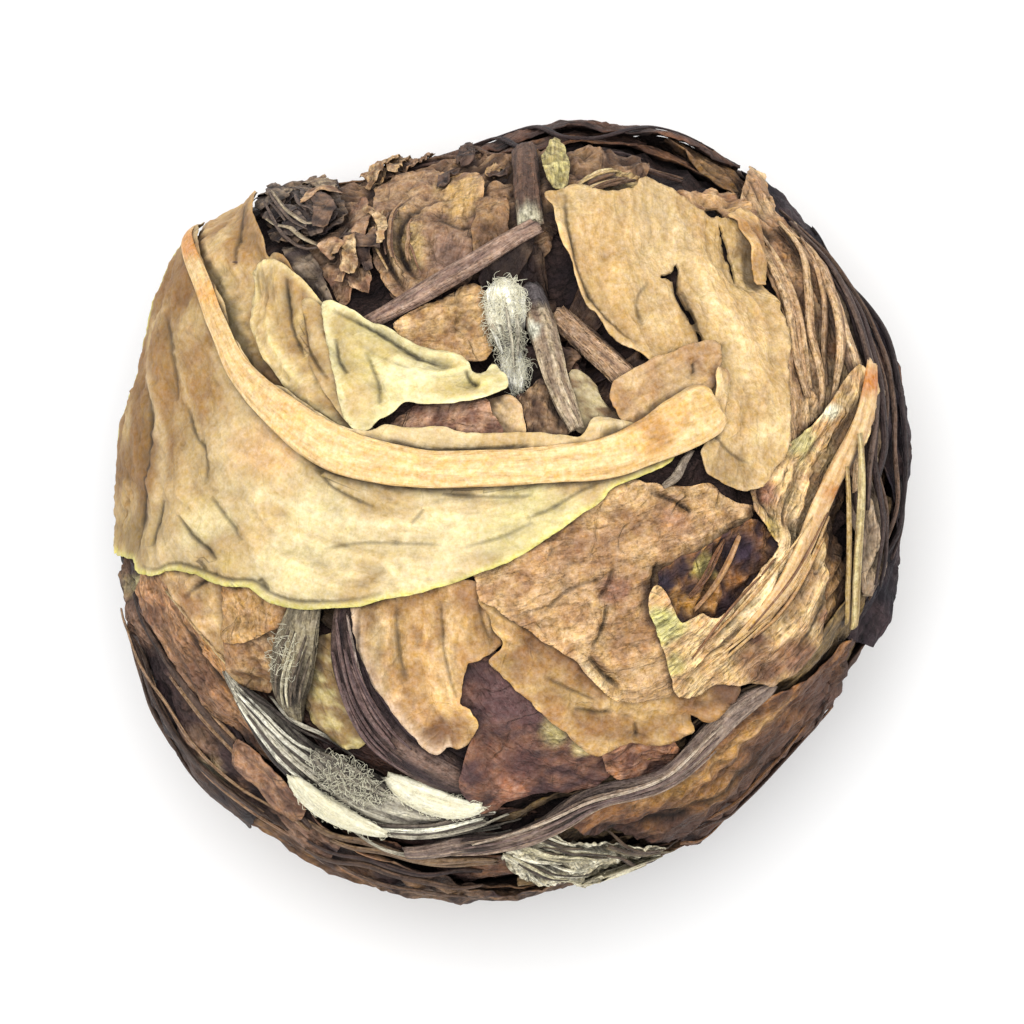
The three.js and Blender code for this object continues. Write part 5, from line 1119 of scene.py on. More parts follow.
     "ribs": [(-8.8, 9.7, .7, .7), (-8.2, 7.2, 1.1, 1.2), (-6.9, 5, 1.2, 1.2), (-4.8, 2.9, .5, .6)],
     "spots": [(-5.7, 2.9, .9, (180, 144, 96)), (-8.2, 9.2, .8, (192, 152, 100)), (-6.9, 7.3, .7, (192, 152, 102)), (-8, 5.4, .9, (220, 196, 140)),
               (-7.3, 6.3, .8, (212, 182, 128))],
     "outline": [(-10.3, 8.9), (-9.8, 9.5), (-9, 9.8), (-8.7, 9.9), (-8.5, 10.2), (-8.2, 10.15), (-7.9, 9.75),
                 (-7.95, 9.2), (-7.85, 8.8), (-7.7, 8.4), (-7.75, 8.05), (-7.1, 7.95), (-6.9, 7.5), (-6.5, 7.1),
                 (-6.3, 6.8), (-6.3, 6), (-6.2, 5), (-5.7, 4.2), (-5, 3.2), (-4.4, 2.4), (-5.2, 2.3), (-6, 2.5),
                 (-6.9, 3), (-7.8, 3.6), (-8.6, 4.4), (-9.4, 5.3), (-9.9, 6.5), (-10.2, 7.6)],
     # painted highlight along the ridge and painted shade along the groove
     "bands": [((232, 208, 150), .25, .8, [(-9.7, 8), (-9.5, 6.6), (-9.1, 5.4), (-8.4, 4.4)]),
               ((176, 136, 88), .3, .7, [(-8.2, 9.6), (-8.5, 8.7), (-8.8, 7.9)])],
     "creases": [("ridge", .1, .12, [(-9.6, 8), (-9.3, 6.6), (-9, 5.6), (-8.5, 4.7)]),
                 ("groove", .1, .12, [(-8.3, 9.5), (-8.7, 8.7), (-9, 7.9)])]},
    {"name": "paleMiddleFold", "ragged": 0.03, "crumple": 0.07, "look": "paleLeaf",
     "tones": ((214, 184, 130), (180, 144, 94)), "step": .1, "rise": .2, "curl": .08,
     "rim": ((232, 208, 152), .16, "both"),
     "spots": [(-5.7, 3, .8, (180, 146, 98))], "ribs": [(-7.7, 7.6), (-8, 5.9), (-7.2, 4.3), (-5, 2.7)],
     "outline": [(-8.3, 7.55), (-7.9, 7.7), (-7.3, 7.7), (-6.7, 7.35), (-6.3, 6.95), (-5.95, 6.4), (-5.8, 5.8),
                 (-5.7, 4.9), (-5.3, 3.9), (-4.7, 2.9), (-4.3, 2.45), (-5, 2.45), (-5.9, 2.95), (-6.9, 3.6),
                 (-7.6, 4.25), (-8.2, 5.1), (-8.55, 5.9), (-8.6, 6.7), (-8.4, 7.2)],
     # the pale band is a painted highlight on the ridge, the last dark band painted shade in the groove
     "bands": [((176, 136, 88), .22, .7, [(-7.3, 7.5), (-6.8, 7), (-6.3, 6.4)]),
               ((230, 208, 152), .25, .7, [(-8, 6.4), (-7.8, 5.3), (-7.1, 4.4), (-6.2, 3.6)]),
               ((176, 138, 90), .2, .6, [(-7.3, 6.6), (-7.2, 5.6), (-6.7, 4.6)])],
     "creases": [("groove", .12, .1, [(-7, 7.3), (-7.2, 6.5), (-7.1, 5.7), (-6.7, 4.9)]),
                 ("ridge", .12, .12, [(-7.6, 7.3), (-7.9, 6.3), (-7.8, 5.4), (-7.3, 4.6), (-6.6, 3.9)]),
                 ("groove", .08, .1, [(-6.7, 6.2), (-6.6, 5.4), (-6.2, 4.6)])]},
    {"name": "paleInnerFold", "ragged": 0.03, "crumple": 0.06, "look": "paleLeaf", "tones": ((216, 188, 136), (184, 150, 102)), "step": .1, "rise": .22, "curl": .08,
     "ribs": [(-7.5, 8.1, .5, .5), (-6.8, 6.2, .8, .7), (-5.9, 4.5, .8, .6), (-4.5, 2.7, .4, .3)],
     "outline": [(-6.5, 6.5), (-6.2, 6.6), (-5.95, 6.35), (-5.6, 6.2), (-5.6, 5.6), (-5.4, 4.8), (-5.1, 4), (-4.8, 3.2),
                 (-4.4, 2.5), (-5, 2.6), (-5.5, 3.2), (-6, 3.9), (-6.4, 4.6), (-6.45, 5), (-6.5, 5.6), (-6.55, 6.1)],
     "creases": [("groove", .12, .1, [(-6.5, 6.2), (-6.6, 5.5), (-6.3, 4.8), (-5.8, 4.1)]),
                 ("ridge", .12, .1, [(-6.65, 6.4), (-6.7, 5.6), (-6.45, 4.8), (-5.9, 4)]),
                 ]},
    {"name": "greenLeaf", "look": "paleLeaf", "tones": ((228, 212, 156), (206, 184, 126)), "step": .1, "rise": .24,
     "rim": ((240, 226, 172), .15, "both"), "bridge": .7, "crumple": 0.08, "ragged": .05,
     "ribs": [(-6, 6, .5, .7), (-4.7, 4.7, 1.35, 2), (-3, 4.1, 1, 1.2), (-1.8, 4, 1.1, .6), (-.4, 4.2, .5, .5)],
     "outline": [(-5.9, 6.4), (-5.5, 6.45), (-5, 6.2), (-4.4, 5.9), (-3.9, 5.75), (-3.3, 5.45), (-2.9, 5.25),
                 (-2.2, 5.2), (-1.7, 5.1), (-1.4, 4.8), (-1.2, 4.45), (-.9, 4.45), (-.6, 4.75), (-.3, 4.5),
                 (-.1, 4.2), (-.2, 3.85), (-.9, 3.5), (-1.7, 3.4), (-2.8, 3.35), (-3.3, 3.4), (-3.6, 3.1),
                 (-4.1, 2.8), (-4.5, 2.45), (-5, 2.6), (-5.3, 3.2), (-5.5, 4.2), (-5.7, 5), (-5.8, 5.6), (-5.85, 6)],
     "spots": [(-4.9, 3.4, .8, (206, 178, 126)), (-1.1, 4.1, .4, (222, 202, 134)), (-3.2, 4.2, .9, (240, 226, 176))],
     # the first band is painted shade in the groove, the second a painted highlight along the raised top edge
     "bands": [((196, 170, 114), .16, .7, [(-5.4, 6.2), (-5.35, 5.2), (-5, 4.3), (-4.7, 3.4)]),
               ((240, 230, 180), .2, .6, [(-5.1, 6), (-4.2, 5.6), (-3.2, 5.1), (-2.2, 4.9)]),
               ((200, 176, 118), .2, .6, [(-3.6, 3.7), (-2.6, 3.9), (-1.6, 3.9)])],
     "creases": [("ridge", .22, .1, [(-5.9, 6.6), (-5.2, 6.3), (-4.2, 5.9), (-3.5, 5.5), (-2.9, 5.15), (-1.8, 4.98),
                                     (-1.5, 4.7)]),
                 ("groove", .14, .1, [(-5.6, 6.2), (-4.3, 5.65), (-3.5, 5.2), (-2.8, 4.85), (-1.9, 4.7)]),
                 ("groove", .14, .1, [(-1.5, 4.6), (-1.35, 4.2), (-1.0, 3.9)]),
                 ("ridge", .12, .1, [(-1.3, 4.6), (-1.1, 4.2), (-.7, 4)]),
                 ("groove", .12, .1, [(-5.5, 5.4), (-5.4, 4.7), (-5.1, 4.2)]),
                 ("groove", .08, .12, [(-4.6, 5), (-4.2, 4), (-4.1, 3.2)]),
                 ("ridge", .08, .15, [(-4.2, 4.6), (-3.9, 3.8), (-3.6, 3.2)])]},
    {"name": "paleLeaf", "look": "paleLeaf", "tones": ((216, 190, 142), (202, 172, 122)), "step": .1,
     "wrinkle": .045, "wrinkleSize": .6, "crumple": 0.07, "crumpleSize": 2.2, "patch": 1.6, "ragged": .04,
     "rim": ((230, 218, 128), .13, "right"), "curl": .04, "bridge": .6,
     # the darker brown spots on the west side are painted shade where the leaf turns down the side
     "spots": [(-10.2, 0, .7, (206, 178, 124)), (-6.5, -1.2, 2.4, (228, 208, 158)), (-2.5, -1, 2.6, (231, 209, 160)), (.8, -.2, 1.8, (228, 211, 152)),
               (-12, 4.5, 2.6, (150, 112, 68)), (-12.2, 1.5, 2, (150, 114, 70)), (-10.9, 7.4, 1.9, (150, 112, 68)),
               (-10.8, 4, 1.5, (170, 132, 84)), (-9.8, -.4, .8, (238, 216, 162)), (-12.3, -1, 1, (158, 130, 84)),
               (-8.2, 2, 1.2, (220, 182, 130)), (-9, -1.6, .5, (206, 178, 116))],
     "ribs": [(-10.3, 9.4, .3, .8), (-9.8, 7.2, .5, 4), (-8.9, 4.9, .7, 7.6), (-7.3, 3, .7, 8.2),
              (-4.7, 1.6, .6, 5.4), (-1.7, 1, .6, 3.9), (1.1, 1.4, .6, 2.6), (3.8, 2.1, .6, 1.5), (6, 3.3, .5, .6)],
     "outline": [(5.2, 2.9), (4.4, 2.7), (3.7, 2.85), (3.2, 2.95), (2.6, 2.9), (2.2, 2.35), (1.6, 2.4), (.5, 2.45),
                 (-.5, 2.4), (-1.6, 2.45), (-2.2, 2.65), (-3.3, 2.6), (-3.9, 2.65), (-4.5, 2.45), (-5.2, 2.6),
                 (-5.7, 2.85), (-6.1, 3.1), (-6.6, 3.45), (-7.2, 3.9), (-7.95, 4.1), (-8.3, 4.55), (-8.8, 5.3),
                 (-9.2, 6), (-9.25, 6.7), (-9.5, 7.2), (-9.75, 7.8), (-9.9, 8.5), (-10.1, 9.4), (-10.8, 9.6),
                 (-12, 8.2), (-13.1, 6), (-13.5, 3), (-13.4, 0), (-12.95, -1.3), (-12.2, -1.6), (-11.9, -1.95),
                 (-11.3, -2.05), (-10.6, -1.85), (-10, -2), (-9.5, -2.2), (-8.9, -2.35), (-8.2, -2.4), (-7.6, -2.75),
                 (-7, -2.95), (-6.2, -3.05), (-5.4, -3), (-4.5, -2.9), (-4, -2.8), (-3, -2.65), (-2, -2.4), (-1, -2),
                 (0, -1.6), (1, -1.05), (2, -.35), (2.8, .2), (3.2, .65), (3.8, .95), (4.4, 1.2), (5.2, 1.7)],
     "bands": [((232, 204, 156), .16, .6, [(-12.1, 5.6), (-11.9, 3.6), (-11.5, 1.6), (-11.3, -.6)]),
               ((140, 104, 62), .2, .5, [(-12.5, 5), (-12.4, 3), (-12.1, 1), (-12.2, -.8)]),
               ((222, 190, 138), .14, .6, [(-11, 6.4), (-11, 4.8), (-10.6, 3), (-9.9, 1.4)]),
               ((166, 128, 82), .18, .5, [(-10.5, 6.8), (-10.4, 5.2), (-9.9, 3.8), (-9, 2.8)]),
               ((238, 222, 178), .14, .5, [(-9.2, 1.2), (-7.4, .2), (-5, -.4), (-2.4, -.5)]),
               ((206, 178, 126), .12, .5, [(-8.8, .4), (-7, -.6), (-4.6, -1.4), (-2, -1.5)]),
               ((208, 182, 130), .1, .5, [(-6.4, .7), (-4, .2), (-1.2, .1), (1.4, .5)])],
     "creases": [("groove", .14, .1, [(-10.05, 6.6), (-9.65, 5.6), (-9.3, 4.6), (-9, 4), (-8.4, 3.25), (-7.8, 2.65),
                                      (-7, 2.05), (-6.6, 1.6), (-6.2, 1.32), (-5.5, 1.15), (-4.8, 1.02), (-3.5, .87),
                                      (-2, .87), (-.5, .92), (1, 1.05), (2.2, 1.15)]),
                 ("groove", .1, .09, [(-6.9, 1.9), (-6.4, 1.25), (-5.9, .75), (-5.3, .4), (-4.6, .1)]),
                 ("groove", .05, .1, [(-6.2, -1.25), (-5, -1.08), (-3.6, -1.1), (-2.2, -1.15)]),
                 ("groove", .07, .1, [(-2.6, .55), (-1.6, .5), (-.4, .45), (.8, .5)]),
                 ("groove", .07, .1, [(.4, -.3), (1.3, .05), (2.2, .6), (2.9, .9)]),
                 ("groove", .05, .09, [(-1.6, -1.2), (-.4, -.9), (.9, -.3)]),
                 ("ridge", .12, .12, [(-10.75, .15), (-10.3, -.4), (-9.8, -.85), (-9.2, -1.3)]),
                 ("groove", .12, .12, [(-10.7, -.1), (-10.2, -.8), (-9.7, -1.2), (-9.3, -1.6)]),
                 ("ridge", .1, .12, [(-9.7, .6), (-9, -.15), (-8.4, -.8), (-7.9, -1.5)]),
                 ("groove", .08, .12, [(-9.9, .5), (-9.2, -.3), (-8.6, -1)]),
                 ("ridge", .12, .14, [(-11.6, 4.2), (-11.9, 2), (-11.6, 0), (-11.6, -1.3)]),
                 ("groove", .12, .12, [(-12.05, 4.4), (-11.95, 1.8), (-12.1, 0), (-12, -1.5)]),
                 ("groove", .12, .12, [(-11.3, .4), (-11.4, -1.2)]),
                 ("groove", .1, .16, [(-10.9, 3.6), (-10.6, 2.6), (-10.1, 1.8), (-10.1, .8)]),
                 ("ridge", .1, .12, [(-11.1, 2.3), (-10.9, 1.2), (-10.7, .3)]),
                 ("groove", .08, .16, [(-11.2, 6.4), (-11.1, 5), (-11.2, 3.6)]),
                 ("ridge", .06, .12, [(-3.6, -.6), (-3.1, 0), (-2.6, .3)]),
                 ("groove", .06, .12, [(-3.4, -.5), (-2.9, .1)]),
                 ("groove", .1, .08, [(-11.8, -1.75), (-11.2, -1.85), (-10.6, -1.65), (-10, -1.8), (-9.4, -2),
                                      (-8.8, -2.15), (-8.1, -2.2), (-7.5, -2.5), (-6.8, -2.75), (-6, -2.8),
                                      (-5, -2.75), (-4, -2.6)]),
                 ("groove", .1, .1, [(-8, -2.05), (-7.5, -2.5)]),
                 ("groove", .1, .1, [(-9.95, -1.5), (-9.6, -1.9)]),
                 ("groove", .1, .1, [(-4.4, 2), (-2.6, 1.92), (-1, 1.95), (.6, 2.05)]),
                 ("ridge", .12, .12, [(1.9, 2.25), (2.6, 2.65), (3.4, 2.8)])]},
    {"name": "paleLeafStalk", "kind": "stalk", "tones": ((246, 212, 154), (226, 184, 124)), "sink": .36,
     "look": "paleStalk", "ridges": 7, "ridgeDepth": .05, "around": 34, "step": .1, "flat": .42, "rough": .04,
     "spots": [(-10, 8.4, .7, (226, 160, 92)), (-9.6, 6.8, .5, (238, 184, 116)), (4.3, 2.5, .9, (204, 156, 98)), (5.2, 3, .6, (228, 182, 118)),
               (-6.9, 2.9, .6, (246, 198, 134)), (6.1, 3.4, .6, (230, 190, 126)), (3.8, 2.2, .5, (236, 192, 128))],
     "ribs": [(-10.25, 9.1, .15, .15), (-9.95, 7.6, .27, .27), (-9.45, 6, .33, .33), (-8.75, 4.45, .42, .42),
              (-7.05, 2.9, .6, .6), (-5.2, 1.78, .68, .68), (-3, 1.32, .6, .6), (-1, 1.32, .57, .57),
              (1, 1.44, .57, .57), (3, 1.65, .66, .66), (4.4, 2.2, .72, .72), (5.4, 2.75, .84, .84),
              (6.2, 3.2, .86, .86), (6.55, 3.4, .7, .7)]},
]


def layPieces(pieces):
    for piece in pieces:
        if piece.get("kind", "leaf") == "leaf":
            layLeaf(piece)
        elif piece["kind"] == "strands":
            layStrands(piece)
        elif piece["kind"] == "flakes":
            layFlakes(piece)
        else:
            layStalk(piece)


layPieces(innerPieces)
layScraps()
layPieces(outerPieces)
print("tea pearl: leaves, stalks and buds laid")


def hollowness(direction, height):  # how deep a point lies among what is round it, from 0 to 1
    east = unit(np.cross(direction, [0.31, 0.17, 0.93]))
    north = np.cross(direction, east)
    total = np.zeros(height.shape)
    for radius, weight in ((0.12, 0.6), (0.28, 0.4)):
        for turn in np.linspace(0, 2 * math.pi, 8, endpoint=False):
            step = (east * math.cos(turn) + north * math.sin(turn)) * radius / meanRadius
            above = heightAt(unit(direction + step)) - height
            total += weight * np.clip(above / radius, 0, 1.4) / 8
    return smoothStep(total, 0.25, 1.05)


def inSight(piece, step):  # grid points that nothing covers, and a little round them
    covered = heightAt(piece["direction"]) - piece["height"] > 0.25
    spread = max(1, round(0.7 / step))
    seen = ~covered
    for axis in (0, 1):
        seen = np.max([shifted(seen, by, axis) for by in range(-spread, spread + 1)], axis=0)
    return seen


def pointsAt(direction, height):
    over = np.maximum(height - pearl["pressFrom"], 0)
    pressed = np.minimum(height, pearl["pressFrom"]) + pearl["pressMost"] * (1 - np.exp(-over / pearl["pressMost"]))
    points = direction * semiAxes * (1 + pressed / meanRadius)[..., None]
    wider = bulge(points[..., 0], points[..., 1], np.hypot(direction[..., 0], direction[..., 1]))
    points[..., :2] *= wider[..., None]
    floor = -semiAxes[2] + pearl["restTrim"]
    soft = 0.35  # the last layers over the flat are squeezed into this height
    squeezed = floor + soft * np.exp(np.minimum((points[..., 2] - floor - soft) / soft, 0))
    points[..., 2] = np.where(points[..., 2] < floor + soft, squeezed, points[..., 2])
    return points


def sheetMesh(piece):
    inside = piece["inside"]
    keep = (inside[:-1, :-1] + inside[1:, :-1] + inside[:-1, 1:] + inside[1:, 1:]) > 0
    sight = inSight(piece, piece["step"])
    keep &= sight[:-1, :-1] & sight[1:, 1:]
    while True:  # two faces never touch by a corner alone
        a, b, c, d = keep[:-1, :-1], keep[1:, 1:], keep[1:, :-1], keep[:-1, 1:]
        rows, columns = np.nonzero((a & b & ~c & ~d) | (~a & ~b & c & d))
        if not len(rows):
            break
        keep[rows, columns] = False
        keep[rows + 1, columns] = False
    padded = np.pad(keep, 1)
    corners = [padded[:-1, :-1], padded[1:, :-1], padded[:-1, 1:], padded[1:, 1:]]
    used = corners[0] | corners[1] | corners[2] | corners[3]
    onRim = used & ~(corners[0] & corners[1] & corners[2] & corners[3])
    slopeRow, slopeColumn = np.gradient(inside)
    steep = slopeRow ** 2 + slopeColumn ** 2 + 1e-6
    rows, columns = np.indices(inside.shape).astype(float)
    rows += np.where(onRim, np.clip(-inside * slopeRow / steep, -0.7, 0.7), 0)
    columns += np.where(onRim, np.clip(-inside * slopeColumn / steep, -0.7, 0.7), 0)
    rows, columns = np.clip(rows, 0, inside.shape[0] - 1), np.clip(columns, 0, inside.shape[1] - 1)
    rows, columns = rows[used], columns[used]
    direction = unit(sampled(piece["direction"], rows, columns))
    height = sampled(piece["height"], rows, columns)
    thick = sampled(piece["thick"], rows, columns)
    number = np.full(inside.shape, -1)
    number[used] = np.arange(used.sum())
    total = int(used.sum())
    i, j = np.nonzero(keep)
    quad = np.stack([number[i, j], number[i + 1, j], number[i + 1, j + 1], number[i, j + 1]], -1)
    missing = [~padded[i + 1, j], ~padded[i + 2, j + 1], ~padded[i + 1, j + 2], ~padded[i, j + 1]]
    walls = []
    for k in range(4):
        start, end = quad[missing[k], k], quad[missing[k], (k + 1) % 4]
        walls.append(np.stack([end, start, start + total, end + total], -1))
    faces = np.vstack([quad, quad[:, ::-1] + total] + walls)
    smooth = np.arange(len(faces)) < 2 * len(quad)
    colour = sampled(piece["colour"], rows, columns)
    grain = sampled(piece["grain"], rows, columns)
    points = np.vstack([pointsAt(direction, height), pointsAt(direction, height - thick)])
    hollow = hollowness(direction, height)
    # painted shade: darker the deeper the point lies among what is round it
    dark = mix(colour, tone(*pearl["paintedShadeTone"]), 0.75 * hollow)
    lines = sampled(piece["lines"], rows, columns)
    extra = {"teaColour": np.vstack([dark, dark * 0.5])}
    for key, values in (("leafGrain", grain), ("leafLines", lines)):
        extra[key] = np.vstack([values] * 2)
    return points, faces, smooth, extra


def tubeMesh(piece):
    direction, height = piece["direction"], piece["height"]
    rows, around = height.shape
    number = np.arange(rows * around).reshape(rows, around)
    after = np.roll(number, -1, axis=1)
    sides = np.stack([number[:-1], after[:-1], after[1:], number[1:]], -1).reshape(-1, 4)
    centre = rows * around
    firstCap = np.stack([np.full(around, centre), after[0], number[0], number[0]], -1)
    lastCap = np.stack([np.full(around, centre + 1), number[-1], after[-1], after[-1]], -1)
    points = pointsAt(direction, height).reshape(-1, 3)
    points = np.vstack([points, points[number[0]].mean(0), points[number[-1]].mean(0)])
    hollow = hollowness(direction, height)
    # painted shade: darker the deeper the point lies among what is round it
    colour = mix(piece["colour"], tone(*pearl["paintedShadeTone"]), 0.8 * hollow)
    faces = np.vstack([sides, firstCap, lastCap])
    smooth = np.arange(len(faces)) < len(sides)

    def withEnds(values):
        flat = values.reshape(-1, 3)
        return np.vstack([flat, values[0].mean(0), values[-1].mean(0)])

    extra = {"teaColour": withEnds(colour), "leafGrain": withEnds(piece["grain"]), "comb": withEnds(piece["comb"])}
    extra["leafLines"] = np.tile([9.0, 0.0, 2.0], (len(points), 1))
    return points, faces, smooth, extra


def coreMesh():
    ball = bmesh.new()
    bmesh.ops.create_icosphere(ball, subdivisions=core["facets"], radius=1)
    direction = unit(np.array([vert.co for vert in ball.verts]))
    faces = np.array([[vert.index for vert in face.verts] for face in ball.faces])
    ball.free()
    height = coreSurface(direction)
    patches = layeredNoise(direction * meanRadius / 0.9, 31, 3)
    colour = mix(tone(*core["tones"][0]), tone(*core["tones"][1]), smoothStep(patches, -0.4, 0.4))
    faces = np.hstack([faces, faces[:, 2:]])
    grain = direction * meanRadius
    extra = {"teaColour": colour, "leafGrain": grain, "leafLines": np.tile([9.0, 0.0, 2.0], (len(grain), 1))}
    return pointsAt(direction, height), faces, np.ones(len(faces), bool), extra


built = [("teaCore", "core", coreMesh())]
for piece in laid:
    made = sheetMesh(piece) if piece["kind"] == "sheet" else tubeMesh(piece)
    if len(made[1]):  # a scrap smaller than the grid's step has no faces
        built.append((piece["name"], piece["look"], made))
everyPoint = np.vstack([made[0] for _, _, made in built])
fitLow, fitHigh = everyPoint.min(0), everyPoint.max(0)
print("tea pearl: faces made", sum(len(made[1]) for _, _, made in built))


def fitted(points):  # brings the pearl to the CAD solid's box, in metres
    return (lowCorner + (points - fitLow) / (fitHigh - fitLow) * (highCorner - lowCorner)) / 1000


# Dried tea close up: fibres along the leaf, blotches, a net of fine veins and a dry grain
def teaSurfaceGroup():
    group = bpy.data.node_groups.new("driedTeaSurface", "ShaderNodeTree")
    interface = group.interface
    interface.new_socket(name="Colour", in_out="INPUT", socket_type="NodeSocketColor")
    for name, value in (("Fibre Size", 0.1), ("Fibre Contrast", 0.2), ("Blotch Size", 0.8), ("Blotch Contrast", 0.2),
                        ("Grain Contrast", 0.15), ("Crease Size", 0.8), ("Crease Contrast", 0.2), ("Net Contrast", 0.1),
                        ("Fleck Contrast", 0.1), ("Edge Highlight", 0.2), ("Vein Contrast", 0.1), ("Roughness", 0.8)):
        socket = interface.new_socket(name=name, in_out="INPUT", socket_type="NodeSocketFloat")
        socket.default_value = value
    interface.new_socket(name="Colour", in_out="OUTPUT", socket_type="NodeSocketColor")
    interface.new_socket(name="Roughness", in_out="OUTPUT", socket_type="NodeSocketFloat")
    interface.new_socket(name="Height", in_out="OUTPUT", socket_type="NodeSocketFloat")
    nodes, links = group.nodes, group.links
    inputs, outputs = nodes.new("NodeGroupInput"), nodes.new("NodeGroupOutput")

    def maths(operation, first, second):
        node = nodes.new("ShaderNodeMath")
        node.operation = operation
        for socket, value in zip(node.inputs, (first, second)):
            if isinstance(value, (int, float)):
                socket.default_value = value
            else:
                links.new(value, socket)
        return node.outputs[0]

    def scaled(vector, scale):
        node = nodes.new("ShaderNodeVectorMath")
        node.operation = "MULTIPLY"
        links.new(vector, node.inputs[0])
        node.inputs[1].default_value = scale
        return node.outputs[0]

    def separated(vector):
        node = nodes.new("ShaderNodeSeparateXYZ")
        links.new(vector, node.inputs[0])
        return node.outputs

    def cloud(vector, size, detail, distortion=0.0):
        node = nodes.new("ShaderNodeTexNoise")
        node.inputs["Detail"].default_value = detail
        node.inputs["Roughness"].default_value = 0.6
        node.inputs["Distortion"].default_value = distortion
        links.new(vector, node.inputs["Vector"])
        links.new(maths("DIVIDE", 1, size), node.inputs["Scale"])
        return node.outputs["Fac"]

    grain = nodes.new("ShaderNodeAttribute")
    grain.attribute_name = "leafGrain"
    drawn = nodes.new("ShaderNodeAttribute")
    # the crease distance and strength carry the painted shade line of each fold and groove
    drawn.attribute_name = "leafLines"  # distance from the nearest crease, its strength, distance from the margin
    drawn = separated(drawn.outputs["Vector"])
    place = nodes.new("ShaderNodeTexCoord").outputs["Object"]
    millimetres = scaled(place, (1000, 1000, 1000))
    along = scaled(grain.outputs["Vector"], (0.12, 1, 1))
    fibres = cloud(along, inputs.outputs["Fibre Size"], 3, 0.3)
    blotches = cloud(millimetres, inputs.outputs["Blotch Size"], 4, 0.8)
    specks = cloud(millimetres, 0.17, 2)
    dust = cloud(millimetres, 0.07, 2)
    crossing = cloud(scaled(grain.outputs["Vector"], (0.45, 1, 1)), inputs.outputs["Crease Size"], 3)
    line = maths("MULTIPLY", maths("ABSOLUTE", maths("SUBTRACT", crossing, 0.5), 0), 16)
    line = maths("SUBTRACT", 1, maths("MINIMUM", line, 1))
    cells = nodes.new("ShaderNodeTexVoronoi")
    cells.feature = "DISTANCE_TO_EDGE"
    cells.inputs["Scale"].default_value = 2.3
    nudged = nodes.new("ShaderNodeVectorMath")
    nudged.operation = "MULTIPLY_ADD"
    wobble = nodes.new("ShaderNodeTexNoise")
    wobble.inputs["Scale"].default_value = 2.5
    links.new(millimetres, wobble.inputs["Vector"])
    links.new(wobble.outputs["Color"], nudged.inputs[0])
    nudged.inputs[1].default_value = (0.7, 0.7, 0.7)
    links.new(millimetres, nudged.inputs[2])
    links.new(nudged.outputs[0], cells.inputs["Vector"])
    net = maths("MAXIMUM", maths("SUBTRACT", 1, maths("MULTIPLY", cells.outputs["Distance"], 9)), 0)
    # the crease line, darkened in colour as painted shade and also sunk in the bump
    away = maths("ADD", drawn[0], maths("MULTIPLY", maths("SUBTRACT", specks, 0.5), 0.08))
    fold = maths("MAXIMUM", maths("SUBTRACT", 1, maths("MULTIPLY", maths("ABSOLUTE", away, 0), 12)), 0)
    fold = maths("MULTIPLY", maths("POWER", fold, 0.7), drawn[1])
    light = 1
    for field, contrast in ((fibres, "Fibre Contrast"), (blotches, "Blotch Contrast"), (specks, "Grain Contrast"),
                            (dust, "Grain Contrast")):
        swing = maths("MULTIPLY", maths("SUBTRACT", field, 0.5), 4)
        light = maths("ADD", light, maths("MULTIPLY", swing, inputs.outputs[contrast]))
    # painted shade along the fine crease lines, which the bump also sinks
    light = maths("SUBTRACT", light, maths("MULTIPLY", line, inputs.outputs["Crease Contrast"]))
    light = maths("SUBTRACT", light, maths("MULTIPLY", net, inputs.outputs["Net Contrast"]))
    # pale flecks along the grain: painted glints
    flecks = cloud(scaled(grain.outputs["Vector"], (0.4, 1, 1)), 0.13, 2)
    flecks = maths("MINIMUM", maths("MAXIMUM", maths("MULTIPLY", maths("SUBTRACT", flecks, 0.58), 9), 0), 1)
    light = maths("ADD", light, maths("MULTIPLY", flecks, inputs.outputs["Fleck Contrast"]))
    # a thin lighter line along each margin: painted highlight
    edge = maths("ADD", drawn[2], maths("MULTIPLY", maths("SUBTRACT", specks, 0.5), 0.12))
    edge = maths("MAXIMUM", maths("SUBTRACT", 1, maths("MULTIPLY", maths("ABSOLUTE", edge, 0), 8)), 0)
    light = maths("ADD", light, maths("MULTIPLY", edge, inputs.outputs["Edge Highlight"]))
    run = separated(grain.outputs["Vector"])  # side veins lean forward from the middle of the leaf
    branch = maths("SUBTRACT", run[0], maths("MULTIPLY", maths("ABSOLUTE", run[1], 0), 0.75))
    branch = maths("ADD", branch, maths("MULTIPLY", cloud(millimetres, 2.2, 2), 2.6))
    branch = maths("SUBTRACT", maths("FRACT", maths("DIVIDE", maths("ADD", branch, run[2]), 1.5), 0), 0.5)
    offVein = maths("MULTIPLY", branch, 1.5)
    vein = maths("MAXIMUM", maths("SUBTRACT", 1, maths("MULTIPLY", maths("ABSOLUTE", offVein, 0), 13)), 0)
    # the vein is lighter in its own colour; the darker line beside it is painted shade of the raised vein
    besideVein = maths("ABSOLUTE", maths("SUBTRACT", offVein, 0.09), 0)
    besideVein = maths("MAXIMUM", maths("SUBTRACT", 1, maths("MULTIPLY", besideVein, 11)), 0)
    # where the blotches are light enough for the veins to show
    reliefShadingAndVeinPatch = maths("MINIMUM", maths("MAXIMUM", maths("MULTIPLY", maths("SUBTRACT", blotches, 0.42), 7), 0), 1)
    vein, besideVein = maths("MULTIPLY", vein, reliefShadingAndVeinPatch), maths("MULTIPLY", besideVein, reliefShadingAndVeinPatch)
    light = maths("ADD", light, maths("MULTIPLY", vein, inputs.outputs["Vein Contrast"]))
    light = maths("SUBTRACT", light, maths("MULTIPLY", besideVein, inputs.outputs["Vein Contrast"]))
    light = maths("MAXIMUM", light, 0.25)
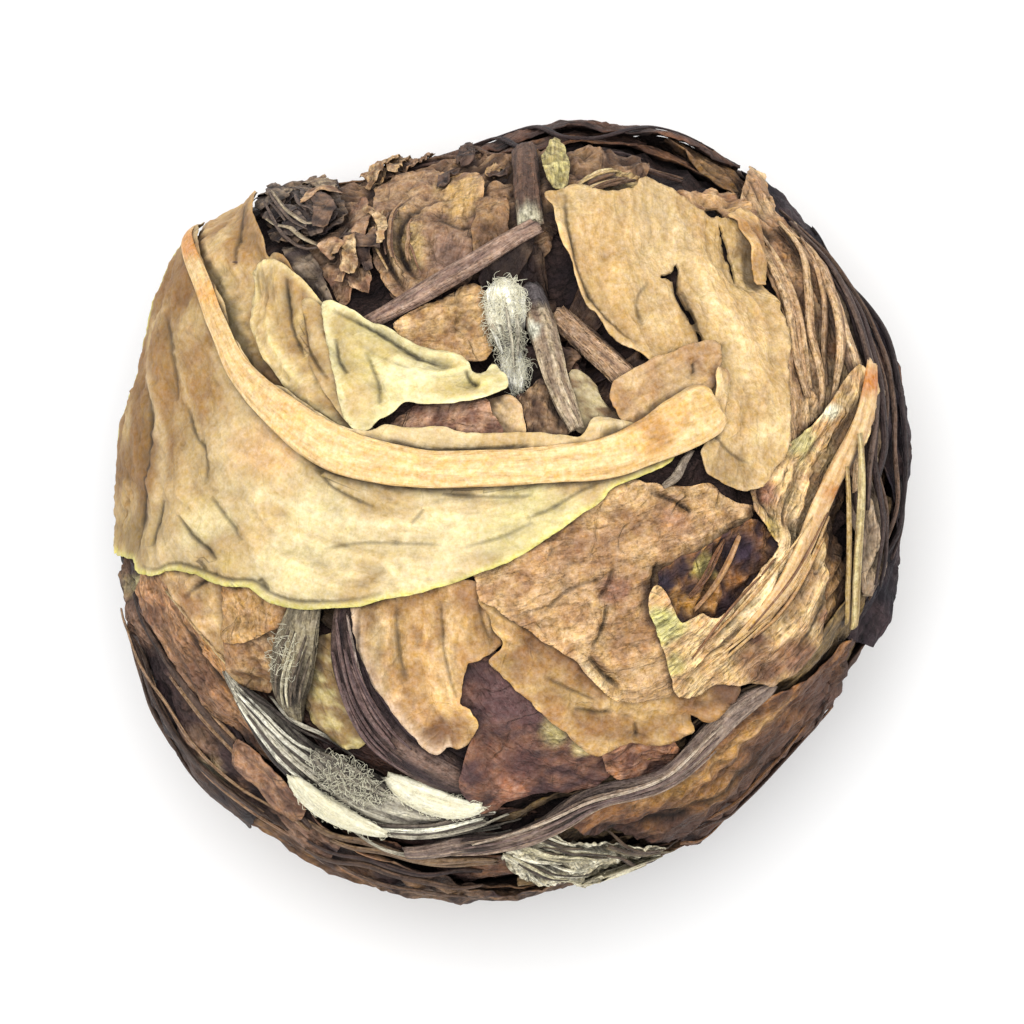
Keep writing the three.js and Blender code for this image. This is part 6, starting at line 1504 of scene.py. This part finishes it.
    # painted shade along the crease lines
    light = maths("MULTIPLY", light, maths("SUBTRACT", 1, maths("MULTIPLY", fold, 0.8)))
    shift = nodes.new("ShaderNodeHueSaturation")
    links.new(inputs.outputs["Colour"], shift.inputs["Color"])
    links.new(light, shift.inputs["Value"])
    links.new(maths("ADD", 0.485, maths("MULTIPLY", blotches, 0.03)), shift.inputs["Hue"])
    links.new(maths("SUBTRACT", 1.35, maths("MULTIPLY", specks, 0.7)), shift.inputs["Saturation"])
    links.new(shift.outputs["Color"], outputs.inputs["Colour"])
    links.new(maths("ADD", inputs.outputs["Roughness"], maths("MULTIPLY", maths("SUBTRACT", specks, 0.5), 0.3)),
              outputs.inputs["Roughness"])
    height = maths("ADD", maths("MULTIPLY", fibres, 0.5), maths("MULTIPLY", dust, 0.25))
    height = maths("ADD", height, maths("MULTIPLY", specks, 0.35))
    height = maths("ADD", height, maths("MULTIPLY", blotches, 0.4))
    height = maths("SUBTRACT", height, maths("MULTIPLY", line, 0.3))
    netDepth = maths("MULTIPLY", inputs.outputs["Net Contrast"], 0.5)
    height = maths("SUBTRACT", height, maths("MULTIPLY", net, netDepth))
    height = maths("SUBTRACT", height, maths("MULTIPLY", fold, 0.7))
    relief = maths("MULTIPLY", maths("SUBTRACT", vein, maths("MULTIPLY", besideVein, 0.5)), 4)
    height = maths("ADD", height, maths("MULTIPLY", relief, inputs.outputs["Vein Contrast"]))
    links.new(height, outputs.inputs["Height"])
    return group


looks = {
    "paleLeaf": {"Fibre Size": .1, "Fibre Contrast": .05, "Blotch Size": .6, "Blotch Contrast": .08,
                 "Grain Contrast": .09, "Crease Size": 1.1, "Crease Contrast": .1, "Net Contrast": .05,
                 "Fleck Contrast": 0.04, "Vein Contrast": 0.09, "Edge Highlight": 0.1,
                 "Roughness": .7, "bump": 0.35},
    "tanLeaf": {"Fibre Size": .1, "Fibre Contrast": .04, "Blotch Size": .45, "Blotch Contrast": .13,
                "Grain Contrast": .13, "Crease Size": .9, "Crease Contrast": .14, "Net Contrast": .07,
                "Fleck Contrast": 0.1, "Vein Contrast": 0.1, "Edge Highlight": 0.2,
                 "Roughness": .74, "bump": 0.45},
    "brownLeaf": {"Fibre Size": .1, "Fibre Contrast": .09, "Blotch Size": .4, "Blotch Contrast": .2,
                  "Grain Contrast": .19, "Crease Size": .7, "Crease Contrast": .28, "Net Contrast": .14,
                  "Fleck Contrast": 0.28, "Vein Contrast": 0.16, "Edge Highlight": 0.3,
                 "Roughness": .72, "bump": 0.8},
    "fibrousLeaf": {"Fibre Size": .09, "Fibre Contrast": .5, "Blotch Size": .5, "Blotch Contrast": .16,
                    "Grain Contrast": .16, "Crease Size": .5, "Crease Contrast": .3, "Net Contrast": .05,
                    "Fleck Contrast": 0.3, "Vein Contrast": 0.08, "Edge Highlight": 0.25,
                 "Roughness": .7, "bump": 0.9},
    "darkLeaf": {"Fibre Size": .09, "Fibre Contrast": .45, "Blotch Size": .5, "Blotch Contrast": .26,
                 "Grain Contrast": .2, "Crease Size": .6, "Crease Contrast": .35, "Net Contrast": .05,
                 "Fleck Contrast": 0.4, "Vein Contrast": 0.1, "Edge Highlight": 0.35,
                 "Roughness": .66, "bump": 0.9},
    "stalk": {"Fibre Size": .07, "Fibre Contrast": .3, "Blotch Size": .5, "Blotch Contrast": .2,
              "Grain Contrast": .2, "Crease Size": .6, "Crease Contrast": .2, "Net Contrast": 0,
              "Fleck Contrast": 0.2, "Vein Contrast": 0, "Edge Highlight": 0,
                 "Roughness": .74, "bump": 0.7},
    "fibrousStalk": {"Fibre Size": .07, "Fibre Contrast": .45, "Blotch Size": .4, "Blotch Contrast": .22,
                     "Grain Contrast": .24, "Crease Size": .5, "Crease Contrast": .3, "Net Contrast": 0,
                     "Fleck Contrast": 0.35, "Vein Contrast": 0, "Edge Highlight": 0,
                 "Roughness": .72, "bump": 0.9},
    "paleStalk": {"Fibre Size": .07, "Fibre Contrast": .18, "Blotch Size": .4, "Blotch Contrast": .08,
                  "Grain Contrast": .1, "Crease Size": .9, "Crease Contrast": .14, "Net Contrast": 0,
                  "Fleck Contrast": 0.08, "Vein Contrast": 0, "Edge Highlight": 0,
                 "Roughness": .64, "bump": 0.5},
    "silverBud": {"Fibre Size": .06, "Fibre Contrast": .6, "Blotch Size": .45, "Blotch Contrast": .3,
                  "Grain Contrast": .25, "Crease Size": .5, "Crease Contrast": .3, "Net Contrast": 0,
                  "Fleck Contrast": 0.3, "Vein Contrast": 0, "Edge Highlight": 0,
                 "Roughness": .8, "bump": 0.9},
    "core": {"Fibre Size": .1, "Fibre Contrast": .2, "Blotch Size": .5, "Blotch Contrast": .3,
             "Grain Contrast": .3, "Crease Size": .6, "Crease Contrast": .4, "Net Contrast": .2,
             "Fleck Contrast": 0.3, "Vein Contrast": 0.1, "Edge Highlight": 0,
                 "Roughness": .85, "bump": 1.0},
}
surfaceGroup = teaSurfaceGroup()


def teaMaterial(name, look):
    material = bpy.data.materials.new(name)
    material.use_nodes = True
    nodes, links = material.node_tree.nodes, material.node_tree.links
    shader = nodes["Principled BSDF"]
    shader.inputs["Specular IOR Level"].default_value = 0.3
    colour = nodes.new("ShaderNodeAttribute")
    colour.attribute_name = "teaColour"
    surfaceNode = nodes.new("ShaderNodeGroup")
    surfaceNode.node_tree = surfaceGroup
    for key, value in look.items():
        if key != "bump":
            surfaceNode.inputs[key].default_value = value
    bump = nodes.new("ShaderNodeBump")
    bump.inputs["Strength"].default_value = look["bump"]
    bump.inputs["Distance"].default_value = 0.00015
    links.new(colour.outputs["Color"], surfaceNode.inputs["Colour"])
    links.new(surfaceNode.outputs["Colour"], shader.inputs["Base Color"])
    links.new(surfaceNode.outputs["Roughness"], shader.inputs["Roughness"])
    links.new(surfaceNode.outputs["Height"], bump.inputs["Height"])
    links.new(bump.outputs["Normal"], shader.inputs["Normal"])
    return material


materials = {name: teaMaterial(name, look) for name, look in looks.items()}
print("tea pearl: materials made")


def teaPiece(name, look, points, faces, smooth, extra):
    mesh = bpy.data.meshes.new(name)
    triangle = faces[:, 2] == faces[:, 3]
    rows = [face[:3] if short else face for face, short in zip(faces.tolist(), triangle.tolist())]
    mesh.from_pydata(fitted(points).tolist(), [], rows)
    mesh.polygons.foreach_set("use_smooth", smooth)
    for key, values in extra.items():
        if key == "teaColour":
            attribute = mesh.attributes.new(key, "FLOAT_COLOR", "POINT")
            attribute.data.foreach_set("color", np.hstack([values, np.ones((len(values), 1))]).ravel())
        else:
            attribute = mesh.attributes.new(key, "FLOAT_VECTOR", "POINT")
            attribute.data.foreach_set("vector", values.ravel())
    mesh.materials.append(materials[look])
    mesh.update()
    piece = bpy.data.objects.new(name, mesh)
    bpy.context.collection.objects.link(piece)
    return piece


# Down on the buds, thickest within the places x, y, radius. The comb is the way the bud runs.
downs = [
    {"bud": "creamBud", "places": [(-5.9, -9.5, 2.2)], "Hairs": 70, "Length": 0.2,
     "Lift": 0.01, "Spread": 0.5, "Curl": 0.2, "Thickness": 0.008},
    {"bud": "creamBudEast", "places": [(-2.6, -9.4, 2.2)], "Hairs": 70, "Length": 0.2,
     "Lift": 0.01, "Spread": 0.5, "Curl": 0.2, "Thickness": 0.008},
    {"bud": "silverNet", "places": [(-5.4, -8.7, 1.7)], "Hairs": 110, "Length": 0.26,
     "Lift": 0.05, "Spread": 1.5, "Curl": 0.5, "Thickness": 0.011},
    {"bud": "whiteBud", "places": [(-0.4, 7, 1.5), (0, 5.2, 1.4)], "Hairs": 190, "Length": 0.32,
     "Lift": 0.06, "Spread": 1.1, "Curl": 0.4, "Thickness": 0.009},
    {"bud": "greyBud", "places": [(-7.4, -4.4, 0.8)], "Hairs": 90, "Length": 0.3,
     "Lift": 0.15, "Spread": 1.4, "Curl": 0.5, "Thickness": 0.01},
]


def downTree():
    tree = bpy.data.node_groups.new("silverDown", "GeometryNodeTree")
    interface = tree.interface
    interface.new_socket(name="Bud", in_out="INPUT", socket_type="NodeSocketGeometry")
    for name in ("Hairs", "Length", "Lift", "Spread", "Curl", "Thickness"):
        interface.new_socket(name=name, in_out="INPUT", socket_type="NodeSocketFloat")
    interface.new_socket(name="Seed", in_out="INPUT", socket_type="NodeSocketInt")
    interface.new_socket(name="Material", in_out="INPUT", socket_type="NodeSocketMaterial")
    interface.new_socket(name="Down", in_out="OUTPUT", socket_type="NodeSocketGeometry")
    nodes, links = tree.nodes, tree.links
    inputs, outputs = nodes.new("NodeGroupInput").outputs, nodes.new("NodeGroupOutput").inputs

    def node(kind, settings=None, **sockets):
        made = nodes.new(kind)
        for key, value in (settings or {}).items():
            setattr(made, key, value)
        for key, value in sockets.items():
            socket = made.inputs[int(key[1:])] if key[0] == "_" else made.inputs[key.replace("_", " ")]
            if isinstance(value, bpy.types.NodeSocket):
                links.new(value, socket)
            else:
                socket.default_value = value
        return made.outputs

    def scattered(low, high, turn):  # a random number for each hair
        seed = node("ShaderNodeMath", {"operation": "ADD"}, _0=inputs["Seed"], _1=turn)[0]
        return node("FunctionNodeRandomValue", None, _2=low, _3=high, Seed=seed)[1]

    large = node("GeometryNodeTransform", None, Geometry=inputs["Bud"], Scale=(1000, 1000, 1000))[0]
    facing = node("ShaderNodeSeparateXYZ", None, Vector=node("GeometryNodeInputNormal")[0])[2]
    upward = node("FunctionNodeCompare", {"operation": "GREATER_THAN"}, _0=facing, _1=-0.1)[0]
    cover = node("GeometryNodeInputNamedAttribute", None, Name="downCover")[0]
    dense = node("ShaderNodeMath", {"operation": "MULTIPLY"}, _0=inputs["Hairs"], _1=cover)[0]
    roots = node("GeometryNodeDistributePointsOnFaces", None, Mesh=large, Selection=upward,
                 Density=dense, Seed=inputs["Seed"])
    comb = node("GeometryNodeInputNamedAttribute", {"data_type": "FLOAT_VECTOR"}, Name="comb")[0]
    lean = node("FunctionNodeRandomValue", {"data_type": "FLOAT_VECTOR"}, _0=(-1, -1, -1), _1=(1, 1, 1),
                Seed=inputs["Seed"])[0]
    leaning = node("ShaderNodeVectorMath", {"operation": "SCALE"}, _0=lean, Scale=inputs["Spread"])[0]
    lifted = node("ShaderNodeVectorMath", {"operation": "SCALE"}, _0=roots["Normal"], Scale=inputs["Lift"])[0]
    way = node("ShaderNodeVectorMath", {"operation": "ADD"}, _0=comb, _1=leaning)[0]
    way = node("ShaderNodeVectorMath", {"operation": "ADD"}, _0=way, _1=lifted)[0]
    bend = node("ShaderNodeCombineXYZ", None, X=inputs["Curl"], Y=0, Z=0.5)[0]
    strand = node("GeometryNodeCurveQuadraticBezier", None, Resolution=4, Start=(0, 0, 0), Middle=bend,
                  End=(0, 0, 1))[0]
    along = node("GeometryNodeSplineParameter")[0]
    taper = node("ShaderNodeMapRange", None, _0=along, _3=1, _4=0.35)[0]
    strand = node("GeometryNodeSetCurveRadius", None, Curve=strand, Radius=taper)[0]
    ring = node("GeometryNodeCurvePrimitiveCircle", None, Resolution=3, Radius=inputs["Thickness"])[0]
    hair = node("GeometryNodeCurveToMesh", None, Curve=strand, Profile_Curve=ring, Fill_Caps=True)[0]
    aimed = node("FunctionNodeAlignRotationToVector", {"axis": "Z"}, Vector=way)[0]
    twist = node("FunctionNodeAxisAngleToRotation", None, Axis=(0, 0, 1), Angle=scattered(0, 6.28, 3))[0]
    aimed = node("FunctionNodeRotateRotation", {"rotation_space": "LOCAL"}, Rotation=aimed, Rotate_By=twist)[0]
    reach = node("ShaderNodeMath", {"operation": "MULTIPLY"}, _0=inputs["Length"], _1=scattered(0.45, 1.3, 5))[0]
    size = node("ShaderNodeCombineXYZ", None, X=1, Y=1, Z=reach)[0]
    spread = node("GeometryNodeInstanceOnPoints", None, Points=roots["Points"], Instance=hair, Rotation=aimed,
                  Scale=size)[0]
    whole = node("GeometryNodeRealizeInstances", None, Geometry=spread)[0]
    whole = node("GeometryNodeTransform", None, Geometry=whole, Scale=(0.001, 0.001, 0.001))[0]
    links.new(node("GeometryNodeSetMaterial", None, Geometry=whole, Material=inputs["Material"])[0],
              outputs["Down"])
    return tree


def grown(bud, settings, number):  # one growth of hairs on a bud, as a plain mesh
    holder = bpy.data.objects.new(f"{bud.name}Down{number}", bud.data.copy())
    bpy.context.collection.objects.link(holder)
    points = np.array([vert.co for vert in holder.data.vertices]) * 1000
    cover = np.zeros(len(points))
    for x, y, radius in settings["places"]:
        away = np.hypot(points[:, 0] - x, points[:, 1] - y) / radius
        cover = np.maximum(cover, 1 - smoothStep(away + 0.5 * noise(points / 0.5, number), 0.4, 1.1))
    holder.data.attributes.new("downCover", "FLOAT", "POINT").data.foreach_set("value", cover)
    growth = holder.modifiers.new("down", "NODES")
    growth.node_group = downNodes
    sockets = {item.name: item.identifier for item in downNodes.interface.items_tree if item.in_out == "INPUT"}
    for name, value in settings.items():
        if name in sockets:
            growth[sockets[name]] = float(value)
    growth[sockets["Seed"]] = number
    growth[sockets["Material"]] = downLook
    evaluated = holder.evaluated_get(bpy.context.evaluated_depsgraph_get())
    mesh = bpy.data.meshes.new_from_object(evaluated)
    holder.modifiers.clear()
    holder.data = mesh
    return holder


def downMaterial():
    material = bpy.data.materials.new("silverDown")
    material.use_nodes = True
    nodes, links = material.node_tree.nodes, material.node_tree.links
    shader = nodes["Principled BSDF"]
    shader.inputs["Specular IOR Level"].default_value = 0.3
    shader.inputs["Roughness"].default_value = 0.7
    root = nodes.new("ShaderNodeAttribute")
    root.attribute_name = "teaColour"
    paler = nodes.new("ShaderNodeMix")
    paler.data_type = "RGBA"
    paler.inputs[0].default_value = 0.7
    paler.inputs[7].default_value = (*tone(255, 250, 222), 1)
    links.new(root.outputs["Color"], paler.inputs[6])
    links.new(paler.outputs[2], shader.inputs["Base Color"])
    return material


def settle(piece):
    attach(piece, "root")
    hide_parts("tea_pearl")


pieces = {}
for name, look, made in built:
    pieces[name] = teaPiece(name, look, *made)
downNodes, downLook = downTree(), downMaterial()
for number, settings in enumerate(downs):
    hairs = grown(pieces[settings["bud"]], settings, number + 1)
    pieces[hairs.name] = hairs
    print("tea pearl: down made", hairs.name, len(hairs.data.polygons))
for piece in pieces.values():
    settle(piece)
print("tea pearl: pieces placed", len(pieces))

# Floor, light and camera
studio = {
    "floorSize": 3.0,
    "floorTone": (0.96, 0.96, 0.96),
    "keyPlace": (-0.035, 0.07, 0.44),
    "keySize": 0.2,
    "keyPower": 1.0,
    "fillPlace": (0.03, -0.02, 0.5),
    "fillSize": 0.35,
    "fillPower": 0.8,
    "skyStrength": 0.68,
    "lens": 400,
    "share": 0.78,  # of the picture that the pearl spans
}


def softLight(name, place, size, power):
    lamp = bpy.data.lights.new(name, "AREA")
    lamp.size = size
    lamp.energy = power
    holder = bpy.data.objects.new(name, lamp)
    holder.location = place
    holder.rotation_euler = (Vector((0, 0, 0.012)) - Vector(place)).to_track_quat("-Z", "Y").to_euler()
    bpy.context.collection.objects.link(holder)


floorMesh = bpy.data.meshes.new("floor")
reach = studio["floorSize"] / 2
floorMesh.from_pydata([(-reach, -reach, 0), (reach, -reach, 0), (reach, reach, 0), (-reach, reach, 0)], [],
                      [(0, 1, 2, 3)])
floorPiece = bpy.data.objects.new("floor", floorMesh)
bpy.context.collection.objects.link(floorPiece)
paper = bpy.data.materials.new("whiteFloor")
paper.use_nodes = True
paper.node_tree.nodes["Principled BSDF"].inputs["Base Color"].default_value = (*studio["floorTone"], 1)
paper.node_tree.nodes["Principled BSDF"].inputs["Roughness"].default_value = 0.9
floorMesh.materials.append(paper)
softLight("key", studio["keyPlace"], studio["keySize"], studio["keyPower"])
softLight("fill", studio["fillPlace"], studio["fillSize"], studio["fillPower"])
world = bpy.data.worlds.new("studio")
world.use_nodes = True
world.node_tree.nodes["Background"].inputs["Color"].default_value = (1, 1, 1, 1)
world.node_tree.nodes["Background"].inputs["Strength"].default_value = studio["skyStrength"]
bpy.context.scene.world = world
bpy.context.scene.view_settings.view_transform = "Standard"

lens = bpy.data.cameras.new("camera")
lens.lens = studio["lens"]
lens.clip_start = 0.01
camera = bpy.data.objects.new("camera", lens)
pearlWidth = (highCorner[0] - lowCorner[0]) / 1000
camera.location = (0, 0, 0.012 + pearlWidth / studio["share"] * studio["lens"] / lens.sensor_width)
bpy.context.collection.objects.link(camera)
bpy.context.scene.camera = camera

print("tea pearl: done")
